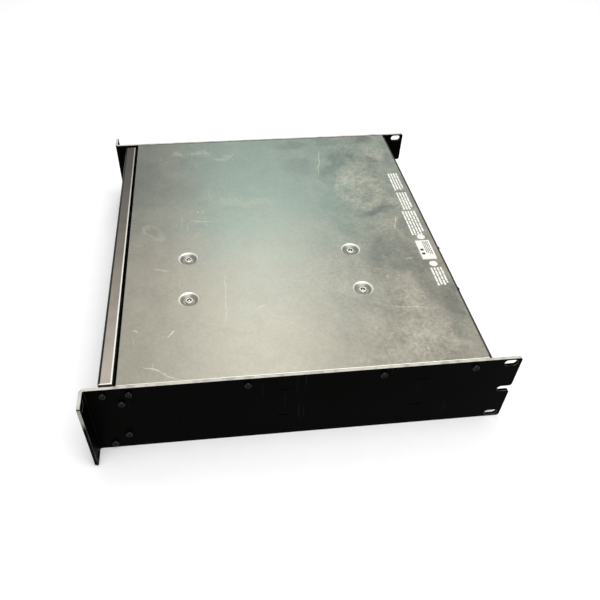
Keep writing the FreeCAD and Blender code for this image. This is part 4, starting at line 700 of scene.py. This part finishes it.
NODE_FINISHES = {
    "lid": ["top_cover"],
    "black": ["side_panel_right", "side_panel_left", "rear_panel", "front_rail", "brace_right_front",
              "brace_right_rear", "brace_left_front", "brace_left_rear"],
    "front": ["front_panel"],
    "zinc": ["bottom_tray", "panel_spacers", "air_duct", "mode_switch_housing", "gain_pot_1", "gain_pot_2",
             "transformer_clamp"],
    "plated": ["cover_screws", "tray_screws", "gain_nuts", "gain_shaft_1", "gain_shaft_2", "breaker_nut",
               "transformer_stud", "transformer_nut", "board_pillars", "input_latch_1", "input_latch_2"],
    "black_screw": ["side_screws", "rear_panel_screws", "fan_screws", "connector_screws"],
    "knob": ["gain_knob_1", "gain_knob_2"],
    "moulded": ["power_switch_housing", "fan_frame", "fan_rotor", "mains_inlet", "breaker_body", "mode_slider",
                "output_devices", "rectifier"],
    "gloss": ["power_rocker"],
    "socket": ["speaker_socket_1", "speaker_socket_2"],
    "cast": ["input_socket_1", "input_socket_2"],
    "wire": ["fan_guard"],
    "button": ["breaker_button"],
    "aluminium": ["heatsink_outer", "heatsink_inner"],
    "winding": ["transformer"],
    "rubber": ["transformer_pad"],
    "sleeve": ["supply_capacitors"],
    "board": ["front_board", "amp_board_outer", "amp_board_inner", "supply_board", "input_board"],
    "lamp": ["channel_leds"],
}
FINISHES = {}


def body_of(node):
    """The moving body that a CAD node belongs to."""
    return frame["nodes"][node]["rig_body"]


# ---- mesh tools
def new_object(name, data):
    """A new object of the scene."""
    piece = bpy.data.objects.new(name, data)
    bpy.context.scene.collection.objects.link(piece)
    return piece


def add_piece(name, mesh_tools, finish_name, body="case", replaced=(), second_finish=None):
    """Turn a bmesh into a piece that rides on a body, with a finish."""
    mesh = bpy.data.meshes.new(name)
    bmesh.ops.recalc_face_normals(mesh_tools, faces=mesh_tools.faces)
    mesh_tools.to_mesh(mesh)
    mesh_tools.free()
    piece = new_object(name, mesh)
    for key in (finish_name, second_finish):
        if key:
            mesh.materials.append(FINISHES[key])
    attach(piece, body)
    if replaced:
        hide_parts(*replaced)
    return piece


def shade_smooth(piece, angle=35.0):
    """Smooth shading with sharp edges kept above an angle."""
    for polygon in piece.data.polygons:
        polygon.use_smooth = True
    with bpy.context.temp_override(object=piece, selected_objects=[piece], active_object=piece,
                                   selected_editable_objects=[piece]):
        bpy.ops.object.shade_smooth_by_angle(angle=math.radians(angle))


def islands(node):
    """The lowest and highest corners of each separate solid of a CAD node."""
    mesh = frame["nodes"][node].data
    work = bmesh.new()
    work.from_mesh(mesh)
    bmesh.ops.remove_doubles(work, verts=work.verts, dist=1e-6)
    work.verts.ensure_lookup_table()
    seen, found = set(), []
    for first in work.verts:
        if first.index in seen:
            continue
        stack, points = [first], []
        seen.add(first.index)
        while stack:
            vertex = stack.pop()
            points.append(vertex.co.copy())
            for edge in vertex.link_edges:
                other = edge.other_vert(vertex)
                if other.index not in seen:
                    seen.add(other.index)
                    stack.append(other)
        found.append((Vector([min(p[i] for p in points) for i in range(3)]),
                      Vector([max(p[i] for p in points) for i in range(3)])))
    work.free()
    return found


def add_bar(work, low, high):
    """A thin printed bar as a closed block between two corners."""
    low, high = Vector(low), Vector(high)
    matrix = Matrix.Translation((low + high) / 2) @ Matrix.Diagonal((*(high - low), 1.0))
    bmesh.ops.create_cube(work, size=1.0, matrix=matrix)


def lathe(work, rings, matrix, segments=40, dark=()):
    """A closed solid of rings (radius, height, sides); the numbered bands take the second finish."""
    loops = []
    for radius, height, sides in rings:
        loop = []
        for i in range(segments):
            angle = math.tau * i / segments
            reach = radius
            if sides:
                part = math.tau / sides
                reach = radius * math.cos(part / 2) / math.cos(angle % part - part / 2)
            loop.append(work.verts.new(matrix @ Vector((reach * math.cos(angle), reach * math.sin(angle), height))))
        loops.append(loop)
    for number, (low, high) in enumerate(zip(loops, loops[1:])):
        for i in range(segments):
            after = (i + 1) % segments
            face = work.faces.new((low[i], low[after], high[after], high[i]))
            face.material_index = int(number in dark)
    work.faces.new(loops[0][::-1])
    work.faces.new(loops[-1])


def add_screw(work, seat, direction, head_radius, settings, length):
    """A round-headed screw with a hexagon socket and a pin in it, its head's seat at a point."""
    tall = settings.head_height
    socket = head_radius * settings.socket_share
    crown = socket * 1.12
    rings = [(settings.shank_radius, -length, 0), (settings.shank_radius, 0.0, 0), (head_radius * 0.97, 0.0, 0),
             (head_radius, tall * 0.08, 0)]
    steps = 8
    for i in range(steps + 1):
        angle = math.pi / 2 * i / steps
        rings.append((crown + (head_radius - crown) * math.cos(angle), tall * (0.30 + 0.70 * math.sin(angle)), 0))
    inside = [(socket * 1.06, tall * 0.99, 6), (socket, tall * 0.94, 6), (socket, tall * 0.50, 6),
              (socket * 0.42, tall * 0.46, 0), (socket * 0.38, tall * 0.74, 0)]
    # the socket's inner bands take a near-black painted shade
    bands = range(len(rings) + 1, len(rings) + len(inside) - 1)
    turn = Vector((0, 0, 1)).rotation_difference(direction).to_matrix().to_4x4()
    lathe(work, rings + inside, Matrix.Translation(seat) @ turn, segments=48, dark=bands)


# ---- operators
class AMPLIFIER_OT_finishes(bpy.types.Operator):
    """Give every CAD node its finish"""
    bl_idname = "amplifier.finishes"
    bl_label = "Finishes"

    def execute(self, context):
        scene = context.scene
        FINISHES.update(make_finishes(scene.amplifier_case, scene.amplifier_lid, scene.amplifier_print.ink))
        named = {node for nodes in NODE_FINISHES.values() for node in nodes}
        missing = set(frame["nodes"]) - named
        if missing:
            raise RuntimeError(f"nodes with no finish: {sorted(missing)}")
        for finish_name, nodes in NODE_FINISHES.items():
            for node in nodes:
                mesh = frame["nodes"][node].data
                mesh.materials.clear()
                mesh.materials.append(FINISHES[finish_name])
        return {"FINISHED"}


class AMPLIFIER_OT_screws(bpy.types.Operator):
    """Build the domed screws of the side panels and of the lid's dimples"""
    bl_idname = "amplifier.screws"
    bl_label = "Screws"

    def execute(self, context):
        settings = context.scene.amplifier_screws
        tall = settings.head_height
        work = bmesh.new()
        for low, high in islands("side_screws"):
            side = 1.0 if low.x > 0 else -1.0
            outer = high.x if side > 0 else low.x
            centre, size = (low + high) / 2, high - low
            seat = Vector((outer - side * tall, centre.y, centre.z))
            add_screw(work, seat, Vector((side, 0, 0)), size.z / 2, settings, size.x - tall)
        shade_smooth(add_piece("side_screw_heads", work, "black_screw", replaced=["side_screws"],
                               second_finish="socket_shade"))
        work = bmesh.new()
        for low, high in islands("cover_screws"):
            centre, size = (low + high) / 2, high - low
            seat = Vector((centre.x, centre.y, high.z - tall))
            add_screw(work, seat, Vector((0, 0, 1)), size.x / 2, settings, size.z - tall)
        shade_smooth(add_piece("dimple_screw_heads", work, "plated", replaced=["cover_screws"],
                               second_finish="socket_shade"))
        return {"FINISHED"}


def printed_line(work, draw, start, end, low, high, top):
    """One line of word-like bars along X between two ends."""
    shortest, longest, gap, least_room = 4.0 * MM, 13.0 * MM, 0.8 * MM, 2.0 * MM
    position = start
    while position < end - least_room:
        length = min(draw.uniform(shortest, longest), end - position)
        add_bar(work, (position, low, top), (position + length, high, top + PRINT_THICKNESS))
        position += length + gap


class AMPLIFIER_OT_lid_printing(bpy.types.Operator):
    """Print the column of plain bars near the lid's rear edge"""
    bl_idname = "amplifier.lid_printing"
    bl_label = "Lid printing"

    # along X in millimetres: each block's ends and number of lines, the discs' centres, the plate's ends
    blocks = ((-112.8, -72.1, 4), (-67.1, -29.1, 4), (-25.8, 22.5, 5), (82.6, 112.3, 4))
    discs = (26.6, 75.8)
    disc_radius, disc_inset = 4.6 * MM, 7.0 * MM
    plate = (33.2, 67.8)
    plate_depth = 16.4 * MM

    def execute(self, context):
        settings = context.scene.amplifier_print
        draw = random.Random(4)
        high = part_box("top_cover")[1]
        rear = high.y - settings.column_margin
        work = bmesh.new()
        for start, end, lines in self.blocks:
            for line in range(lines):
                top_edge = rear - line * settings.line_pitch
                stop = end * MM if line else end * MM - draw.uniform(3.0, 9.0) * MM
                printed_line(work, draw, start * MM, stop, top_edge - settings.line_height, top_edge, high.z)
        for centre in self.discs:
            lathe(work, [(self.disc_radius, 0.0, 0), (self.disc_radius, PRINT_THICKNESS, 0)],
                  Matrix.Translation((centre * MM, rear - self.disc_inset, high.z)), segments=32)
        front = rear - self.plate_depth
        add_bar(work, (self.plate[0] * MM, front, high.z), (self.plate[1] * MM, rear, high.z + PRINT_THICKNESS))
        add_piece("lid_printing", work, "ink")

        # dark lines and two dark squares on the plate
        work = bmesh.new()
        top = high.z + PRINT_THICKNESS
        for row in range(4):
            y = rear - (2.2 + row * 1.9) * MM
            printed_line(work, draw, (self.plate[0] + 2.0) * MM, (self.plate[1] - 8.0 - row) * MM,
                         y - 0.7 * MM, y, top)
        for inset in (12.0, 19.0):
            x = (self.plate[1] - inset) * MM
            add_bar(work, (x, front + 2.0 * MM, top), (x + 3.4 * MM, front + 5.6 * MM, top + PRINT_THICKNESS))
        add_piece("lid_printing_dark", work, "moulded")
        return {"FINISHED"}


def dial_tick(work, centre, angle, inner, outer, width, face):
    """A short printed tick that points away from a dial's centre."""
    turn = Matrix.Rotation(angle, 4, "Y")
    size = Matrix.Diagonal((width, PRINT_THICKNESS, outer - inner, 1.0))
    middle = Matrix.Translation((0.0, 0.0, (inner + outer) / 2))
    place = Matrix.Translation((centre.x, face - PRINT_THICKNESS / 2, centre.z))
    bmesh.ops.create_cube(work, size=1.0, matrix=place @ turn @ middle @ size)


class AMPLIFIER_OT_front_printing(bpy.types.Operator):
    """Print the dial ticks and lamp bars on the front panel, and the knobs' pointers"""
    bl_idname = "amplifier.front_printing"
    bl_label = "Front printing"

    ticks = 11
    sweep = math.radians(300)
    tick_gap, long_tick, short_tick, tick_width = 2.0 * MM, 3.2 * MM, 2.2 * MM, 0.5 * MM

    def execute(self, context):
        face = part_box("front_panel")[0].y
        work = bmesh.new()
        for number in (1, 2):
            low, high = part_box(f"gain_knob_{number}")
            centre = (low + high) / 2
            radius = (high.x - low.x) / 2
            inner = radius + self.tick_gap
            for i in range(self.ticks):
                angle = self.sweep * (i / (self.ticks - 1) - 0.5)
                long = self.long_tick if i in (0, self.ticks // 2, self.ticks - 1) else self.short_tick
                dial_tick(work, centre, angle, inner, inner + long, self.tick_width, face)
            pointer = bmesh.new()
            add_bar(pointer, (centre.x - 0.5 * MM, low.y + 0.1 * MM, centre.z + radius * 0.28),
                    (centre.x + 0.5 * MM, low.y + 0.7 * MM, centre.z + radius * 0.72))
            add_piece(f"knob_pointer_{number}", pointer, "ink", body=f"gain_{number}")
        for low, high in islands("channel_leds"):
            middle = (low.z + high.z) / 2
            start = high.x + 2.2 * MM
            add_bar(work, (start, face - PRINT_THICKNESS, middle - 0.6 * MM),
                    (start + 5.5 * MM, face, middle + 0.6 * MM))
        add_piece("front_printing", work, "ink")
        return {"FINISHED"}


class AMPLIFIER_OT_rear_details(bpy.types.Operator):
    """Add the contacts of the sockets and the printed bars of the rear panel"""
    bl_idname = "amplifier.rear_details"
    bl_label = "Rear details"

    input_sockets = ("input_socket_1", "input_socket_2")
    speaker_sockets = ("speaker_socket_1", "speaker_socket_2")
    labelled = (*input_sockets, *speaker_sockets, "mains_inlet", "breaker_nut", "mode_switch_housing")
    contact_circle, blade_circle = 3.8 * MM, 6.25 * MM
    blade = (2.4 * MM, 9.0 * MM, 0.5 * MM, 1.0)
    bar_halves = (8.0 * MM, 5.0 * MM)

    def execute(self, context):
        outward = Matrix.Rotation(math.radians(-90), 4, "X")
        sleeve = [(1.15 * MM, -9.0 * MM, 0), (1.15 * MM, -1.6 * MM, 0), (0.75 * MM, -1.6 * MM, 0),
                  (0.75 * MM, -8.0 * MM, 0)]
        contacts = bmesh.new()
        for node in self.input_sockets:
            low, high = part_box(node)
            centre = (low + high) / 2
            for degrees in (200, 340, 270):
                x = centre.x + self.contact_circle * math.cos(math.radians(degrees))
                z = centre.z + self.contact_circle * math.sin(math.radians(degrees))
                lathe(contacts, sleeve, Matrix.Translation((x, high.y, z)) @ outward, segments=24)
        for node in self.speaker_sockets:
            low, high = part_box(node)
            centre = (low + high) / 2
            place = Matrix.Translation((centre.x, high.y - 9.5 * MM, centre.z))
            blade = Matrix.Translation((0, 0, self.blade_circle)) @ Matrix.Diagonal(self.blade)
            for degrees in (45, 135, 225, 315):
                turn = Matrix.Rotation(math.radians(degrees), 4, "Y")
                bmesh.ops.create_cube(contacts, size=1.0, matrix=place @ turn @ blade)
        shade_smooth(add_piece("socket_contacts", contacts, "brass"))

        # two printed bars under each socket and switch
        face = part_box("rear_panel")[1].y
        bars = bmesh.new()
        for node in self.labelled:
            low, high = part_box(node)
            middle = (low.x + high.x) / 2
            for row, half in enumerate(self.bar_halves):
                z = low.z - (3.6 + row * 3.0) * MM
                add_bar(bars, (middle - half, face, z), (middle + half, face + PRINT_THICKNESS, z + 1.4 * MM))
        add_piece("rear_printing", bars, "ink")
        return {"FINISHED"}


class AMPLIFIER_OT_stage(bpy.types.Operator):
    """Lay the pale floor and set the lights and the camera"""
    bl_idname = "amplifier.stage"
    bl_label = "Stage"

    camera_place = (0.5768, -0.0760, 0.5101)
    camera_turn = (45.149, -0.752, 83.666)
    camera_shift = (0.0425, 0.0432)

    def execute(self, context):
        settings = context.scene.amplifier_stage
        work = bmesh.new()
        bmesh.ops.create_grid(work, x_segments=1, y_segments=1, size=6.0)
        mesh = bpy.data.meshes.new("floor")
        work.to_mesh(mesh)
        work.free()
        floor = new_object("floor", mesh)
        material, tree, shader = open_material("pale_floor")
        speckle = tree.noise(tree.place(), 40.0, 4.0, 0.6)
        tree.feed(shader.inputs["Base Color"], tree.mix(
            tree.ramp(speckle, 0.3, 0.7), opaque(settings.floor), opaque(settings.floor, 0.985)))
        tree.feed(shader.inputs["Roughness"], tree.ramp(speckle, 0.3, 0.7, 0.75, 0.85))
        shader.inputs["Specular IOR Level"].default_value = 0.2
        mesh.materials.append(material)
        world = bpy.data.worlds.new("soft_studio")
        world.use_nodes = True
        light = world.node_tree.nodes["Background"].inputs
        light["Color"].default_value = (1.0, 1.0, 1.0, 1.0)
        light["Strength"].default_value = settings.sky
        context.scene.world = world
        self.add_light("softbox", settings.softbox, (0.5, 1.4), (-1.15, 0.09, 1.60), (0.0, 0.0, 0.08))
        self.add_light("overhead", settings.overhead, (2.4, 2.4), (0.9, 0.45, 2.5), (0.2, 0.0, 0.0))
        camera = bpy.data.cameras.new("camera")
        camera.lens = settings.focal_length
        camera.sensor_width = 36.0
        camera.shift_x, camera.shift_y = self.camera_shift
        holder = new_object("camera", camera)
        holder.location = self.camera_place
        holder.rotation_euler = [math.radians(angle) for angle in self.camera_turn]
        context.scene.camera = holder
        context.scene.view_settings.view_transform = "Standard"
        return {"FINISHED"}

    def add_light(self, name, power, size, place, target):
        """A rectangular area light that looks at a point."""
        light = bpy.data.lights.new(name, "AREA")
        light.energy = power
        light.shape = "RECTANGLE"
        light.size, light.size_y = size
        holder = new_object(name, light)
        holder.location = place
        holder.rotation_euler = (Vector(target) - Vector(place)).to_track_quat("-Z", "Y").to_euler()


OPERATORS = (AMPLIFIER_OT_finishes, AMPLIFIER_OT_screws, AMPLIFIER_OT_lid_printing,
             AMPLIFIER_OT_front_printing, AMPLIFIER_OT_rear_details, AMPLIFIER_OT_stage)


class AMPLIFIER_PT_panel(bpy.types.Panel):
    """Lists the steps and the settings"""
    bl_label = "Rack Amplifier"
    bl_idname = "AMPLIFIER_PT_panel"
    bl_space_type = "VIEW_3D"
    bl_region_type = "UI"
    bl_category = "Amplifier"

    def draw(self, context):
        for operator in OPERATORS:
            self.layout.operator(operator.bl_idname)
        for name, group in SETTINGS.items():
            box = self.layout.box()
            settings = getattr(context.scene, name)
            for field in group.__annotations__:
                box.prop(settings, field)


def register():
    """Register the settings, operators and panel."""
    for name, group in SETTINGS.items():
        bpy.utils.register_class(group)
        setattr(bpy.types.Scene, name, bpy.props.PointerProperty(type=group))
    for piece in (*OPERATORS, AMPLIFIER_PT_panel):
        bpy.utils.register_class(piece)


def unregister():
    """Take the settings, operators and panel away again."""
    for piece in reversed((*OPERATORS, AMPLIFIER_PT_panel)):
        bpy.utils.unregister_class(piece)
    for name, group in reversed(SETTINGS.items()):
        delattr(bpy.types.Scene, name)
        bpy.utils.unregister_class(group)


def main():
    """Register, then build everything in order."""
    register()
    bpy.ops.amplifier.finishes()
    bpy.ops.amplifier.screws()
    bpy.ops.amplifier.lid_printing()
    bpy.ops.amplifier.front_printing()
    bpy.ops.amplifier.rear_details()
    bpy.ops.amplifier.stage()


if __name__ == "__main__":
    main()
